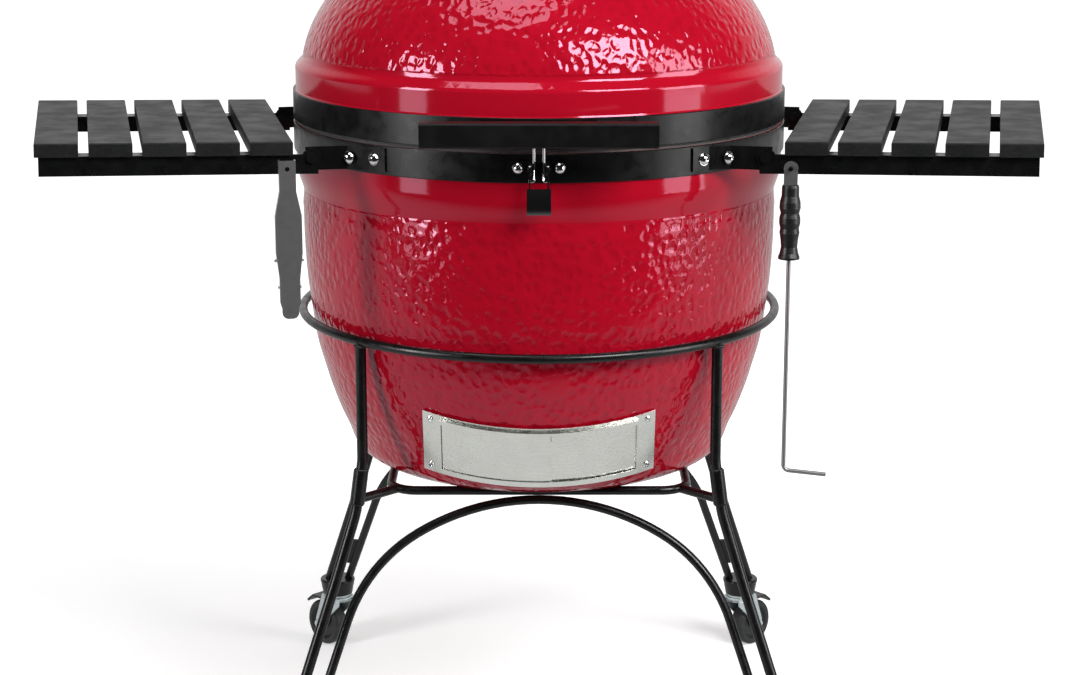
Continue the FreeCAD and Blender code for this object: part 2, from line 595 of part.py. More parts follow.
cheek = rounded(cheek, 5.0, lambda e: abs(e.Length - FORK_T) < 0.01 and e.CenterOfMass.z < FORK_TOP_Z - 2)
bridge = block(-21.0, 21.0, -FORK_IN - FORK_T, FORK_IN + FORK_T, FORK_TOP_Z - FORK_PLATE_T, FORK_TOP_Z)
axle_mid = V(CASTER_TRAIL, 0, WHEEL_R)
BRAKE_PIVOT = V(8.0, 0, 2 * WHEEL_R)
boss_out = FORK_IN + FORK_T
fork = fused([raceway, crown_ring, bridge, cheek, cheek.mirror(V(0, 0, 0), V(0, 1, 0)),
              cylinder(6.5, axle_mid - V(0, FORK_IN + 0.1, 0), axle_mid - V(0, FORK_IN - 2.6, 0)),
              cylinder(6.5, axle_mid + V(0, FORK_IN - 2.6, 0), axle_mid + V(0, FORK_IN + 0.1, 0)),
              cylinder(2.5, BRAKE_PIVOT - V(0, boss_out + 1.5, 0), BRAKE_PIVOT + V(0, boss_out + 1.5, 0))])
fork = fork.cut(Part.makeCylinder(KINGPIN_R + FIT, 30.0, V(0, 0, FORK_TOP_Z - 20.0)))
fork = fork.cut(cylinder(AXLE_R, axle_mid - V(0, 40, 0), axle_mid + V(0, 40, 0)))


def hexagon(radius, start, end):
    axis = end - start
    points = []
    for k in range(7):
        a = math.pi / 3 * k
        points.append(start + V(radius * math.cos(a), 0, radius * math.sin(a)))
    return Part.Face(Part.makePolygon(points)).extrude(axis)


axle = fused([cylinder(AXLE_R, axle_mid - V(0, boss_out + 4, 0), axle_mid + V(0, boss_out + 4, 0)),
              hexagon(7.5, axle_mid - V(0, boss_out + 4.5, 0), axle_mid - V(0, boss_out, 0)),
              hexagon(7.5, axle_mid + V(0, boss_out, 0), axle_mid + V(0, boss_out + 5.5, 0))])
tread = Part.makeCylinder(WHEEL_R, WHEEL_W, axle_mid - V(0, WHEEL_W / 2, 0), V(0, 1, 0))
tread = rounded(tread, 5.0, lambda e: abs(e.Length - 2 * math.pi * WHEEL_R) < 0.1)
dish = Part.makeCone(28.0, 24.0, 4.5, axle_mid + V(0, WHEEL_W / 2, 0), V(0, -1, 0))
hub_core = cylinder(9.5, axle_mid - V(0, WHEEL_W / 2, 0), axle_mid + V(0, WHEEL_W / 2, 0))
wheel = tread.cut(dish).cut(dish.mirror(V(0, 0, 0), V(0, 1, 0)))
wheel = fused([wheel, hub_core]).cut(cylinder(AXLE_R + FIT, axle_mid - V(0, 40, 0), axle_mid + V(0, 40, 0)))
pedal_side = [(2.0, -4.5), (15.0, -4.0), (26.0, 4.0), (48.0, 3.0), (62.0, -8.0), (65.0, -5.5),
              (50.0, 6.8), (24.0, 7.6), (12.0, 4.5), (2.0, 4.5)]
outline = [V(x, -FORK_IN + 1.0, BRAKE_PIVOT.z + z) for x, z in pedal_side]
pedal = Part.Face(Part.makePolygon(outline + [outline[0]])).extrude(V(0, 2 * FORK_IN - 2.0, 0))
pedal = pedal.cut(block(-2.0, 25.0, -WHEEL_W / 2 - 0.6, WHEEL_W / 2 + 0.6,
                        BRAKE_PIVOT.z - 16, BRAKE_PIVOT.z + 14))
pedal = pedal.cut(cylinder(2.5 + FIT, BRAKE_PIVOT - V(0, 40, 0), BRAKE_PIVOT + V(0, 40, 0)))
corner_names = ["rr", "rl", "fl", "fr"]
corner_spots = [(1, 1), (-1, 1), (-1, -1), (1, -1)]
stems = []
for name, (sx, sy) in zip(corner_names, corner_spots):
    angle = math.degrees(math.atan2(sy, sx))
    spot = FreeCAD.Placement(V(sx * CASTER_XY, sy * CASTER_XY, 0), FreeCAD.Rotation(V(0, 0, 1), angle))
    stems.append(moved(stem, spot))
    save("caster_fork_" + name, [moved(fork, spot), moved(axle, spot)])
    save("caster_wheel_" + name, moved(wheel, spot))
    save("caster_brake_" + name, moved(pedal, spot))
save("caster_stems", stems)

# ---------------------------------------------------------------- shelves
turn = math.radians(SHELF_TURN)
U = V(math.cos(turn), -math.sin(turn), 0)
W = V(math.sin(turn), math.cos(turn), 0)


def at(u, w, z):
    """Point given along the right-hand shelf's own directions."""
    return U * u + W * w + V(0, 0, z)


shelf_place = FreeCAD.Placement(V(0, 0, 0), FreeCAD.Rotation(V(0, 0, 1), -SHELF_TURN))
to_pivot = FreeCAD.Placement(V(-PIVOT_U, 0, -PIVOT_Z), FreeCAD.Rotation())
shelf_rise = FreeCAD.Placement(V(PIVOT_U, 0, PIVOT_Z), FreeCAD.Rotation(V(0, 1, 0), -SHELF_RISE))
slat_z = SLAT_TOP_Z - SLAT_T
rail_top = slat_z
rail_low = rail_top - RAIL_H
rail_end = SLAT_START + SLAT_COUNT * SLAT_W + (SLAT_COUNT - 1) * SLAT_GAP - 5.0
front_face = -SLAT_LEN / 2 + RAIL_IN_FRONT
rear_face = SLAT_LEN / 2 - RAIL_IN_REAR
slats = []
for i in range(SLAT_COUNT):
    u0 = SLAT_START + i * (SLAT_W + SLAT_GAP)
    slat = block(u0, u0 + SLAT_W, -SLAT_LEN / 2, SLAT_LEN / 2, slat_z, SLAT_TOP_Z)
    slat = rounded(slat, 2.0, lambda e: e.CenterOfMass.z > SLAT_TOP_Z - 0.01)
    slats.append(slat)


def rail(face, inward):
    """L-angle whose upright leg has its outer face at w = face; inward is +1 or -1."""
    w0, w1 = sorted((face, face + inward * RAIL_T))
    upright_leg = block(PIVOT_U - 9.0, rail_end, w0, w1, rail_low, rail_top)
    w0, w1 = sorted((face, face + inward * RAIL_FLANGE))
    flange = block(SLAT_START - 0.5, rail_end, w0, w1, rail_top - RAIL_T, rail_top)
    ear = Part.makeCylinder(12.5, RAIL_T, V(PIVOT_U, face, PIVOT_Z), V(0, inward, 0))
    body = fused([upright_leg, flange, ear])
    hole = Part.makeCylinder(4.0 + FIT, 20.0, V(PIVOT_U, face - inward * 8, PIVOT_Z), V(0, inward, 0))
    return body.cut(hole)


front_rail = rail(front_face, 1)
rear_rail = rail(rear_face, -1)
peg_end = TOOL_W - 7.0
peg = Part.makeCylinder(PEG_R, front_face - peg_end + 1.0, V(PEG_U, peg_end, PEG_Z), V(0, 1, 0))
peg_collar = Part.makeCylinder(7.0, front_face - (TOOL_W + 8.0), V(PEG_U, TOOL_W + 8.0, PEG_Z), V(0, 1, 0))
front_rail = fused([front_rail, peg, peg_collar])
heads = []
for k in range(3):
    head_at = V(SLAT_START + 65 + 100 * k, front_face - 2.0, rail_low + 7.0)
    heads.append(Part.makeCylinder(3.2, 2.0, head_at, V(0, 1, 0)))
front_rail = fused([front_rail] + heads)


def on_shelf(shape):
    """Raise a level shelf piece about the pivot, then turn it to the shelf's direction."""
    return moved(moved(moved(shape, to_pivot), shelf_rise), shelf_place)


shelf_rails = [on_shelf(front_rail), on_shelf(rear_rail)]
shelf_slats = [on_shelf(slat) for slat in slats]
save("right_rails", shelf_rails)
save("right_slats", shelf_slats)
save("left_rails", [mirrored(s) for s in shelf_rails])
save("left_slats", [mirrored(s) for s in shelf_slats])

# Straps that carry the shelves: bolted to the lower band, pinned to the rails
STRAP_T = 3.0
STRAP_LOW = JOINT_Z - 36.0
STRAP_HIGH = JOINT_Z - 5.0
STRAP_OFF = 13.0
strap_mid_r = BAND_R + STRAP_T / 2


def on_circle(radius, angle, side):
    a = math.radians(angle)
    return (radius * math.cos(a), side * radius * math.sin(a))


straps = []
bolts = []
band_holes = []
for side, face in ((-1, front_face), (1, rear_face)):
    inward = -side
    w_mid = face + inward * (RAIL_T + SIDE_GAP + STRAP_T / 2)
    off_angle = math.degrees(math.asin(abs(w_mid) / (strap_mid_r + STRAP_OFF)))
    c = on_circle(strap_mid_r + STRAP_OFF, off_angle, side)
    path = [on_circle(strap_mid_r + 0.1, off_angle + 9.0, side),
            on_circle(strap_mid_r + 0.1, off_angle + 7.0, side),
            on_circle(strap_mid_r + 0.1, off_angle + 4.5, side),
            c, (PIVOT_U - 10.0, w_mid), (PIVOT_U + 8.0, w_mid)]
    strap = strip(path, STRAP_T, STRAP_LOW, STRAP_HIGH)
    strap = strap.cut(Part.makeCylinder(BAND_R, 60.0, V(0, 0, JOINT_Z - 51.0)))
    pin_start = face - inward * 3.0
    pin_end = w_mid + inward * (STRAP_T / 2 + 4.0)
    pin = cylinder(4.0, V(PIVOT_U, pin_start, PIVOT_Z), V(PIVOT_U, pin_end, PIVOT_Z))
    pin_head = cylinder(7.0, V(PIVOT_U, face - inward * SIDE_GAP, PIVOT_Z),
                        V(PIVOT_U, face - inward * 4.0, PIVOT_Z))
    pin_nut = hexagon(7.0, V(PIVOT_U, w_mid + inward * STRAP_T / 2, PIVOT_Z),
                      V(PIVOT_U, w_mid + inward * (STRAP_T / 2 + 5.0), PIVOT_Z))
    strap = fused([strap, pin, pin_head, pin_nut])
    bolt_spots = ((BAND_R + STRAP_T, off_angle + 6.0),
                  (BAND_R + STRAP_T + STRAP_OFF - 1.0, off_angle + 0.6))
    for radius, angle in bolt_spots:
        a = math.radians(angle)
        out = V(math.cos(a), side * math.sin(a), 0)
        z_bolt = (STRAP_LOW + STRAP_HIGH) / 2
        seat = out * radius + V(0, 0, z_bolt)
        shank = cylinder(4.0, out * (RIM_R + 0.2) + V(0, 0, z_bolt), seat + out * 1.0)
        washer = cylinder(8.6, seat, seat + out * 1.4)
        cap = Part.makeSphere(8.4, seat - out * 1.2).common(cylinder(10, seat + out * 1.2, seat + out * 20))
        hex_recess = cylinder(2.4, seat + out * 4.6, seat + out * 10)
        bolt = fused([shank, washer, cap]).cut(hex_recess)
        if radius > BAND_R + STRAP_T + 1:
            spacer = cylinder(7.0, out * (BAND_R - 4.0) + V(0, 0, z_bolt), seat - out * 1.5)
            spacer = spacer.cut(Part.makeCylinder(BAND_R, 60.0, V(0, 0, JOINT_Z - 51.0))).cut(strap)
            bolt = fused([bolt, max(spacer.Solids, key=lambda s: s.Volume)])
        bolts.append(bolt)
        band_holes.append(cylinder(4.0, out * (RIM_R - 20) + V(0, 0, z_bolt), seat + out * 10.0))
    straps.append(strap)
for b in bolts:
    straps = [s.cut(b) for s in straps]
right_straps = [moved(s, shelf_place) for s in straps]
right_bolts = [moved(b, shelf_place) for b in bolts]
all_straps = right_straps + [mirrored(s) for s in right_straps]
all_bolts = right_bolts + [mirrored(b) for b in right_bolts]
for b in all_bolts:
    lower_band = lower_band.cut(b)
save("shelf_straps", all_straps)

# ---------------------------------------------------------------- hanging tools (in shelf axes, right side)
peg_spot = shelf_rise.multVec(V(PEG_U - PIVOT_U, 0, PEG_Z - PIVOT_Z))
HANG_U = peg_spot.x
HANG_Z = peg_spot.z
tab_t = 3.0
eye = Part.makeCylinder(9.4, tab_t, V(HANG_U, TOOL_W - tab_t / 2, HANG_Z), V(0, 1, 0))
tab = block(HANG_U - 9.0, HANG_U + 9.0, TOOL_W - tab_t / 2, TOOL_W + tab_t / 2, HANG_Z - 26.0, HANG_Z)
eye_hole = Part.makeCylinder(PEG_R + 0.1, 20.0, V(HANG_U, TOOL_W - 10, HANG_Z), V(0, 1, 0))
grip_top = HANG_Z - 22.0
grip_profile = [(0, 0), (10.6, 0), (11.4, -3), (11.5, -14), (13.6, -22), (14.0, -30), (12.2, -37),
                (13.8, -43), (14.0, -50), (12.4, -57), (13.2, -63), (11.6, -72), (10.8, -82),
                (12.2, -90), (14.2, -95), (14.2, -98), (0, -98)]
grip = turned(grip_profile)
grip.translate(V(HANG_U, TOOL_W, grip_top))
rod_r = 2.9
rod_low = grip_top - 98.0 - 290.0
poker = rod([V(HANG_U, TOOL_W, grip_top - 60), V(HANG_U, TOOL_W, rod_low),
             V(HANG_U + 57.0, TOOL_W, rod_low - 3.0)], [8.0], 2 * rod_r)
tab = fused([tab, eye]).cut(eye_hole)
grip = grip.cut(poker).cut(tab)
grip = max(grip.Solids, key=lambda s: s.Volume)


def right_tool(shape):
    return moved(shape, shelf_place)


def left_tool(shape):
    return mirrored(moved(shape, shelf_place))


save("ash_tool_grip", right_tool(grip))
save("ash_tool_rod", [right_tool(poker), right_tool(tab)])

# Grate gripper: a pressed channel with a second handle pinned inside it
gz = HANG_Z
g_profile = [(11.0, gz + 11.0), (11.0, gz - 30.0), (13.5, gz - 42.0), (17.5, gz - 62.0), (17.5, gz - 112.0),
             (15.5, gz - 128.0), (13.5, gz - 146.0), (13.5, gz - 178.0), (10.0, gz - 190.0)]


def channel(profile, w_face, depth, thick):
    """Folded channel: a face sheet with two side flanges, open towards the shelf."""
    pieces = []
    right_side = [V(HANG_U + x, w_face, z) for x, z in profile]
    left_side = [V(HANG_U - x, w_face, z) for x, z in profile][::-1]
    outline = right_side + left_side
    solid = Part.Face(Part.makePolygon(outline + [outline[0]])).extrude(V(0, depth, 0))
    inner_right = [V(HANG_U + x - thick, w_face + thick, z) for x, z in profile]
    inner_left = [V(HANG_U - x + thick, w_face + thick, z) for x, z in profile][::-1]
    inner_right[0].z += 5.0
    inner_left[-1].z += 5.0
    inner_right[-1].z -= 5.0
    inner_left[0].z -= 5.0
    inner = inner_right + inner_left
    hollow = Part.Face(Part.makePolygon(inner + [inner[0]])).extrude(V(0, depth, 0))
    return solid.cut(hollow)


face_w = TOOL_W - 7.5
g_body = channel(g_profile, face_w, 11.0, 1.5)
pin_z = gz - 122.0
keyhole = Part.makeCylinder(PEG_R + 0.1, 40.0, V(HANG_U, face_w - 5, gz), V(0, 1, 0))
pin_low = cylinder(2.5, V(HANG_U - 19.5, TOOL_W, pin_z), V(HANG_U + 19.5, TOOL_W, pin_z))
pin_two = cylinder(2.2, V(HANG_U - 15.5, TOOL_W - 0.5, gz - 158.0),
                   V(HANG_U + 15.5, TOOL_W - 0.5, gz - 158.0))
jaw = block(HANG_U - 11.0, HANG_U + 11.0, face_w + 1.0, face_w + 6.0, gz - 200.0, gz - 176.0)
jaw = rounded(jaw, 8.0, lambda e: abs(e.Length - 5.0) < 0.01 and e.CenterOfMass.z < gz - 195)
g_body = fused([g_body.cut(keyhole), pin_low, pin_two, jaw])
save("gripper_body", left_tool(g_body))
lever_profile = [(9.0, gz - 52.0), (12.0, gz - 68.0), (13.4, gz - 84.0), (13.4, gz - 112.0),
                 (12.4, gz - 128.0), (12.0, gz - 136.0)]
lever_face = TOOL_W + 4.2
outline = [V(HANG_U + x, lever_face, z) for x, z in lever_profile]
outline += [V(HANG_U - x, lever_face, z) for x, z in lever_profile][::-1]
lever_sheet = Part.Face(Part.makePolygon(outline + [outline[0]])).extrude(V(0, 1.5, 0))
ears = []
for s in (-1, 1):
    x0, x1 = sorted((HANG_U + s * 13.4, HANG_U + s * 11.9))
    ears.append(block(x0, x1, TOOL_W - 3.6, lever_face + 1.0, pin_z - 1.0, pin_z + 12.0))
    ears.append(Part.makeCylinder(4.5, 1.5, V(x0, TOOL_W, pin_z), V(1, 0, 0)))
lever = fused([lever_sheet] + ears)
lever = lever.cut(cylinder(2.5 + FIT, V(HANG_U - 30, TOOL_W, pin_z), V(HANG_U + 30, TOOL_W, pin_z)))
save("gripper_lever", left_tool(lever))

# ---------------------------------------------------------------- latch
plate_half = 41.0
latch_plate = ring(BAND_R + 3.0, BAND_R, LATCH_Z - 9.0, LATCH_Z + 9.0)
latch_plate = latch_plate.common(block(-plate_half, plate_half, -2 * BAND_R, 0,
                                       LATCH_Z - 50, LATCH_Z + 50))
ears = []
for s in (-1, 1):
    x0, x1 = sorted((s * 8.6, s * 10.6))
    ear = block(x0, x1, LATCH_PIN_Y, -BAND_R, LATCH_Z - 8.0, LATCH_Z + 8.0)
    tip_disc = Part.makeCylinder(8.0, 2.0, V(x0, LATCH_PIN_Y, LATCH_Z), V(1, 0, 0))
    ears.append(fused([ear, tip_disc]))
latch_base = fused([latch_plate] + ears)
latch_base = latch_base.cut(Part.makeCylinder(BAND_R, 100.0, V(0, 0, LATCH_Z - 40.0)))
latch_pins = []
for s in (-1, 1):
    x0, x1 = sorted((s * 8.6, s * 15.0))
    latch_pins.append(Part.makeCylinder(2.5, x1 - x0, V(x0, LATCH_PIN_Y, LATCH_Z), V(1, 0, 0)))
latch_base = latch_base.cut(Part.makeCompound(latch_pins))
latch_bolts = []
for x in (-27.0, 27.0):
    a = math.asin(x / (BAND_R + 3.0))
    out = V(math.sin(a), -math.cos(a), 0)
    seat = out * (BAND_R + 3.0) + V(0, 0, LATCH_Z)
    shank = cylinder(3.0, out * (RIM_R + 0.2) + V(0, 0, LATCH_Z), seat + out * 1.0)
    cap = Part.makeSphere(8.0, seat - out * 2.4).common(cylinder(7.5, seat, seat + out * 20))
    recess = cylinder(2.2, seat + out * 3.2, seat + out * 9)
    latch_bolts.append(fused([shank, cap]).cut(recess))
for b in latch_bolts:
    latch_base = latch_base.cut(b)
    lower_band = lower_band.cut(b)
save("latch_plate", [latch_base] + latch_pins)

arms = []
for s in (-1, 1):
    x0, x1 = sorted((s * 10.9, s * 12.9))
    arm = block(x0, x1, LATCH_PIN_Y - 7.0, LATCH_PIN_Y + 7.0, LATCH_Z - 27.0, LATCH_Z)
    arms.append(arm)
    arms.append(Part.makeCylinder(7.0, 2.0, V(x0, LATCH_PIN_Y, LATCH_Z), V(1, 0, 0)))
tab_outer = Part.makeCylinder(60.0, 31.5, V(-15.75, LATCH_PIN_Y + 52.0, LATCH_Z - 40.0), V(1, 0, 0))
tab_inner = Part.makeCylinder(57.5, 31.5, V(-15.75, LATCH_PIN_Y + 52.0, LATCH_Z - 40.0), V(1, 0, 0))
tab_zone = block(-15.75, 15.75, LATCH_PIN_Y - 20.0, LATCH_PIN_Y + 5.0, LATCH_Z - 58.0, LATCH_Z - 24.0)
tab = tab_outer.cut(tab_inner).common(tab_zone)
lever = fused(arms + [tab])
lever = lever.cut(Part.makeCylinder(2.5 + FIT, 60.0, V(-30, LATCH_PIN_Y, LATCH_Z), V(1, 0, 0)))
LOOP_Z = LATCH_Z - LATCH_LOOP_DROP - 6.0
wire_r = 1.8
lever = lever.cut(Part.makeCylinder(wire_r + FIT, 60.0, V(-30, LATCH_PIN_Y, LOOP_Z), V(1, 0, 0)))
save("latch_lever", lever)
loop_half = 6.3
loop = rod([V(-13.4, LATCH_PIN_Y, LOOP_Z), V(-loop_half, LATCH_PIN_Y, LOOP_Z),
            V(-loop_half, LATCH_PIN_Y + 5.2, LOOP_Z + 14.0), V(-loop_half, LATCH_PIN_Y + 5.2, LATCH_TOP_Z),
            V(loop_half, LATCH_PIN_Y + 5.2, LATCH_TOP_Z), V(loop_half, LATCH_PIN_Y + 5.2, LOOP_Z + 14.0),
            V(loop_half, LATCH_PIN_Y, LOOP_Z), V(13.4, LATCH_PIN_Y, LOOP_Z)],
           [2.2, 3.0, 3.5, 3.5, 3.0, 2.2], 2 * wire_r)
save("latch_loop", loop)
save("lower_band", lower_band)

# ---------------------------------------------------------------- handle on the upper band
handle = block(-HANDLE_LEN / 2, HANDLE_LEN / 2, HANDLE_FRONT_Y, HANDLE_FRONT_Y + HANDLE_D,
               HANDLE_Z - HANDLE_H / 2, HANDLE_Z + HANDLE_H / 2)
handle = rounded(handle, 3.5, lambda e: abs(e.Length - HANDLE_LEN) < 0.01)
handle_back = HANDLE_FRONT_Y + HANDLE_D
mount_pieces = []
handle_bolts = []
for s in (-1, 1):
    x = s * HANDLE_MOUNT_X
    wall_y = -math.sqrt(BAND_R ** 2 - x ** 2)
    foot = ring(BAND_R + 3.0, BAND_R, HANDLE_Z - 20.0, HANDLE_Z + 10.0)
    foot = foot.common(block(x - 20, x + 20, -2 * BAND_R, 0, HANDLE_Z - 50, HANDLE_Z + 50))
    web = block(x - 2.0, x + 2.0, handle_back, wall_y + 4.0, HANDLE_Z - 14.0, HANDLE_Z + 8.0)
    pad_plate = block(x - 14.0, x + 14.0, handle_back, handle_back + 3.0, HANDLE_Z - 14.0, HANDLE_Z + 12.0)
    piece = fused([foot, web, pad_plate]).cut(Part.makeCylinder(BAND_R, 100.0, V(0, 0, HANDLE_Z - 40.0)))
    mount_pieces.append(piece)
    for dx in (-10.0, 10.0):
        a = math.asin((x + dx) / (BAND_R + 3.0))
        out = V(math.sin(a), -math.cos(a), 0)
        seat = out * (BAND_R + 3.0) + V(0, 0, HANDLE_Z + 2.0)
        shank = cylinder(3.0, out * (RIM_R + 0.2) + V(0, 0, HANDLE_Z + 2.0), seat + out * 1.0)
        cap = Part.makeSphere(6.0, seat - out * 1.8).common(cylinder(5.6, seat, seat + out * 20))
        handle_bolts.append(fused([shank, cap]))
catch = ring(BAND_R + 2.0, BAND_R, JOINT_Z + 6.0, JOINT_Z + 25.0)
catch = catch.common(block(-11, 11, -2 * BAND_R, 0, JOINT_Z, JOINT_Z + 50))
nose = block(-9.0, 9.0, -BAND_R - 5.0, -BAND_R - 1.0, JOINT_Z + 15.0, JOINT_Z + 17.5)
catch = fused([catch, nose])
for b in handle_bolts:
    mount_pieces = [m.cut(b) for m in mount_pieces]
    upper_band = upper_band.cut(b)
save("handle_bar", handle)
save("handle_mounts", mount_pieces + [catch])

# ---------------------------------------------------------------- rear hinge
CHEEK_X = 52.0
CHEEK_T = 4.0
ARM_OUT = CHEEK_X - SIDE_GAP
base_plate = ring(BAND_R + 4.0, BAND_R, LOWER_BAND_Z + 1.0, LOWER_RIM_Z - 1.0)
base_plate = base_plate.common(block(-CHEEK_X - 22.0, CHEEK_X + 22.0, 0, 2 * BAND_R,
                                     JOINT_Z - 90, JOINT_Z + 90))
cheeks = []
for s in (-1, 1):
    x0, x1 = sorted((s * CHEEK_X, s * (CHEEK_X + CHEEK_T)))
    points = [V(x0, BAND_R - 10, HINGE_Z - 33), V(x0, HINGE_Y + 6, HINGE_Z - 50),
              V(x0, HINGE_BACK_Y, HINGE_Z - 42), V(x0, HINGE_BACK_Y, HINGE_Z + 8),
              V(x0, HINGE_Y + 8, HINGE_Z + 12), V(x0, HINGE_Y - 14, HINGE_Z + 7),
              V(x0, BAND_R - 10, HINGE_Z + 4)]
    cheek_plate = Part.Face(Part.makePolygon(points + [points[0]])).extrude(V(x1 - x0, 0, 0))
    cheeks.append(cheek_plate)
CROSS_TOP_Z = HINGE_Z - 42.0
cross = block(-CHEEK_X - 1, CHEEK_X + 1, HINGE_Y - 14.0, HINGE_Y + 14.5, CROSS_TOP_Z - 4.0, CROSS_TOP_Z)
hinge_bracket = fused([base_plate, cross] + cheeks)
hinge_bracket = hinge_bracket.cut(Part.makeCylinder(BAND_R, 120.0, V(0, 0, HINGE_Z - 60.0)))
hinge_pin = cylinder(HINGE_PIN_R, V(-CHEEK_X - 9, HINGE_Y, HINGE_Z), V(CHEEK_X + 9, HINGE_Y, HINGE_Z))
pin_heads = []
for s in (-1, 1):
    x0, x1 = sorted((s * (CHEEK_X + CHEEK_T), s * (CHEEK_X + CHEEK_T + 6.0)))
    pin_heads.append(cylinder(10.0, V(x0, HINGE_Y, HINGE_Z), V(x1, HINGE_Y, HINGE_Z)))
hinge_bracket = hinge_bracket.cut(hinge_pin)
hinge_pin = fused([hinge_pin] + pin_heads)
hinge_bracket = hinge_bracket.cut(hinge_pin)
save("hinge_bracket", [hinge_bracket, hinge_pin])
coils = []
for s in (-1, 1):
    helix = Part.makeHelix(5.2, 26.0, HINGE_PIN_R + 5.5)
    start = V(HINGE_PIN_R + 5.5, 0, 0)
    ring_wire = Part.Wire(Part.makeCircle(2.2, start, V(0, 1, 0.07)))
    coil = Part.Wire(helix).makePipeShell([ring_wire], True, True)
    coil.rotate(V(0, 0, 0), V(0, 0, 1), 90)
    coil.rotate(V(0, 0, 0), V(0, 1, 0), 90)
    coil.translate(V(s * 22.0 - 13.0, HINGE_Y, HINGE_Z))
    legs_down = []
    for x in (s * 22.0 - 13.0, s * 22.0 + 13.0):
        leg_y = HINGE_Y + HINGE_PIN_R + 5.5
        legs_down.append(cylinder(2.2, V(x, leg_y, HINGE_Z), V(x, leg_y, CROSS_TOP_Z)))
    coils.append(fused([coil] + legs_down))
save("hinge_springs", coils)
arm_plate = ring(BAND_R + 4.0, BAND_R, UPPER_RIM_Z + 3.0, UPPER_BAND_Z - 2.0)
arm_plate = arm_plate.common(block(-CHEEK_X - 16.0, CHEEK_X + 16.0, 0, 2 * BAND_R,
                                   JOINT_Z, JOINT_Z + 90))
hinge_arm_pieces = [arm_plate]
for s in (-1, 1):
    x0, x1 = sorted((s * ARM_OUT, s * (ARM_OUT - CHEEK_T)))
    points = [V(x0, BAND_R - 10, UPPER_RIM_Z + 4.0), V(x0, HINGE_Y - 10.0, HINGE_Z - 8.0),
              V(x0, HINGE_Y, HINGE_Z - 11.0), V(x0, HINGE_Y + 9.0, HINGE_Z - 5.0),
              V(x0, HINGE_Y + 9.0, HINGE_Z + 10.0), V(x0, BAND_R + 22, JOINT_Z + 33.0),
              V(x0, BAND_R - 10, UPPER_BAND_Z - 3.0)]
    arm_side = Part.Face(Part.makePolygon(points + [points[0]])).extrude(V(x1 - x0, 0, 0))
    hinge_arm_pieces.append(arm_side)
hinge_arm_pieces.append(block(-ARM_OUT + 1, ARM_OUT - 1, BAND_R + 8.0, BAND_R + 12.0,
                              JOINT_Z + 14.0, JOINT_Z + 33.0))
hinge_arms = fused(hinge_arm_pieces).cut(Part.makeCylinder(BAND_R, 120.0, V(0, 0, JOINT_Z - 41.0)))
hinge_arms = hinge_arms.cut(cylinder(HINGE_PIN_R + FIT, V(-90, HINGE_Y, HINGE_Z), V(90, HINGE_Y, HINGE_Z)))
save("hinge_arms", hinge_arms)

# Chrome fixings of the fixed body and of the dome
rear_bolts = []
for x in (-CHEEK_X - 13.0, CHEEK_X + 13.0):
    a = math.asin(x / (BAND_R + 4.0))
    out = V(math.sin(a), math.cos(a), 0)
    seat = out * (BAND_R + 4.0) + V(0, 0, JOINT_Z - 23.0)
    cap = Part.makeSphere(8.0, seat - out * 2.4).common(cylinder(7.5, seat, seat + out * 20))
    rear_bolts.append(cap)
save("fixings", all_bolts + latch_bolts + screws + rear_bolts)
save("upper_band", upper_band)
save("handle_bolts", handle_bolts)

# ---------------------------------------------------------------- top vent
seat_r = VENT_HOLE_R + 18.0
collar_in = VENT_HOLE_R - 8.0
collar_profile = [(collar_in, VENT_SEAT_Z - 30.0), (VENT_HOLE_R - 0.5, VENT_SEAT_Z - 30.0),
                  (VENT_HOLE_R - 0.5, VENT_SEAT_Z - 14.0), (seat_r + 4.0, VENT_SEAT_Z - 24.0),
                  (seat_r + 4.0, VENT_SEAT_Z - 12.0), (seat_r, VENT_SEAT_Z), (collar_in, VENT_SEAT_Z)]
collar = turned(collar_profile).cut(dome_shell)
collar = max(collar.Solids, key=lambda s: s.Volume)
CAP_PIN = V(0, VENT_HOLE_R + 10.0, VENT_SEAT_Z)
cap_z0 = VENT_SEAT_Z + 0.4
cap_t = 7.0
collar_pin = Part.makeCylinder(4.0, cap_t + 3.0, V(0, CAP_PIN.y, VENT_SEAT_Z - 2.0))
pin_cap = Part.makeCylinder(7.5, 3.5, V(0, CAP_PIN.y, cap_z0 + cap_t + 0.4))
collar = fused([collar, collar_pin, pin_cap])
save("vent_collar", collar)
petals = []
petal = Part.makeCylinder(10.5, 40.0, V(30.0, 0, VENT_SEAT_Z - 10))
petal = petal.fuse(Part.makeCylinder(6.0, 40.0, V(15.5, 0, VENT_SEAT_Z - 10)))
petal_neck = [(15.5, -6.0), (27.5, -10.0), (27.5, 10.0), (15.5, 6.0)]
petal = petal.fuse(plate(petal_neck, VENT_SEAT_Z - 10, VENT_SEAT_Z + 30))
for k in range(5):
    petals.append(moved(petal, FreeCAD.Placement(V(0, 0, 0), FreeCAD.Rotation(V(0, 0, 1), 72 * k))))
cap_plate = Part.makeCylinder(VENT_CAP_R, cap_t, V(0, 0, cap_z0))
cap_plate = rounded(cap_plate, 2.5, lambda e: abs(e.CenterOfMass.z - cap_z0 - cap_t) < 0.01)
cap_boss = Part.makeCylinder(11.0, 3.0, V(0, CAP_PIN.y, cap_z0 + cap_t - 3.0))
grip_tab = block(-9.0, 9.0, -VENT_CAP_R - 16.0, -VENT_CAP_R + 5.0, cap_z0, cap_z0 + cap_t)
grip_tab = rounded(grip_tab, 5.0, lambda e: abs(e.Length - cap_t) < 0.01
                   and e.CenterOfMass.y < -VENT_CAP_R - 10)
vent_cap = fused([cap_plate, grip_tab])
turned_petals = [moved(p, FreeCAD.Placement(V(0, 0, 0), FreeCAD.Rotation(V(0, 0, 1), 36))) for p in petals]
for p in turned_petals:
    vent_cap = vent_cap.cut(p)
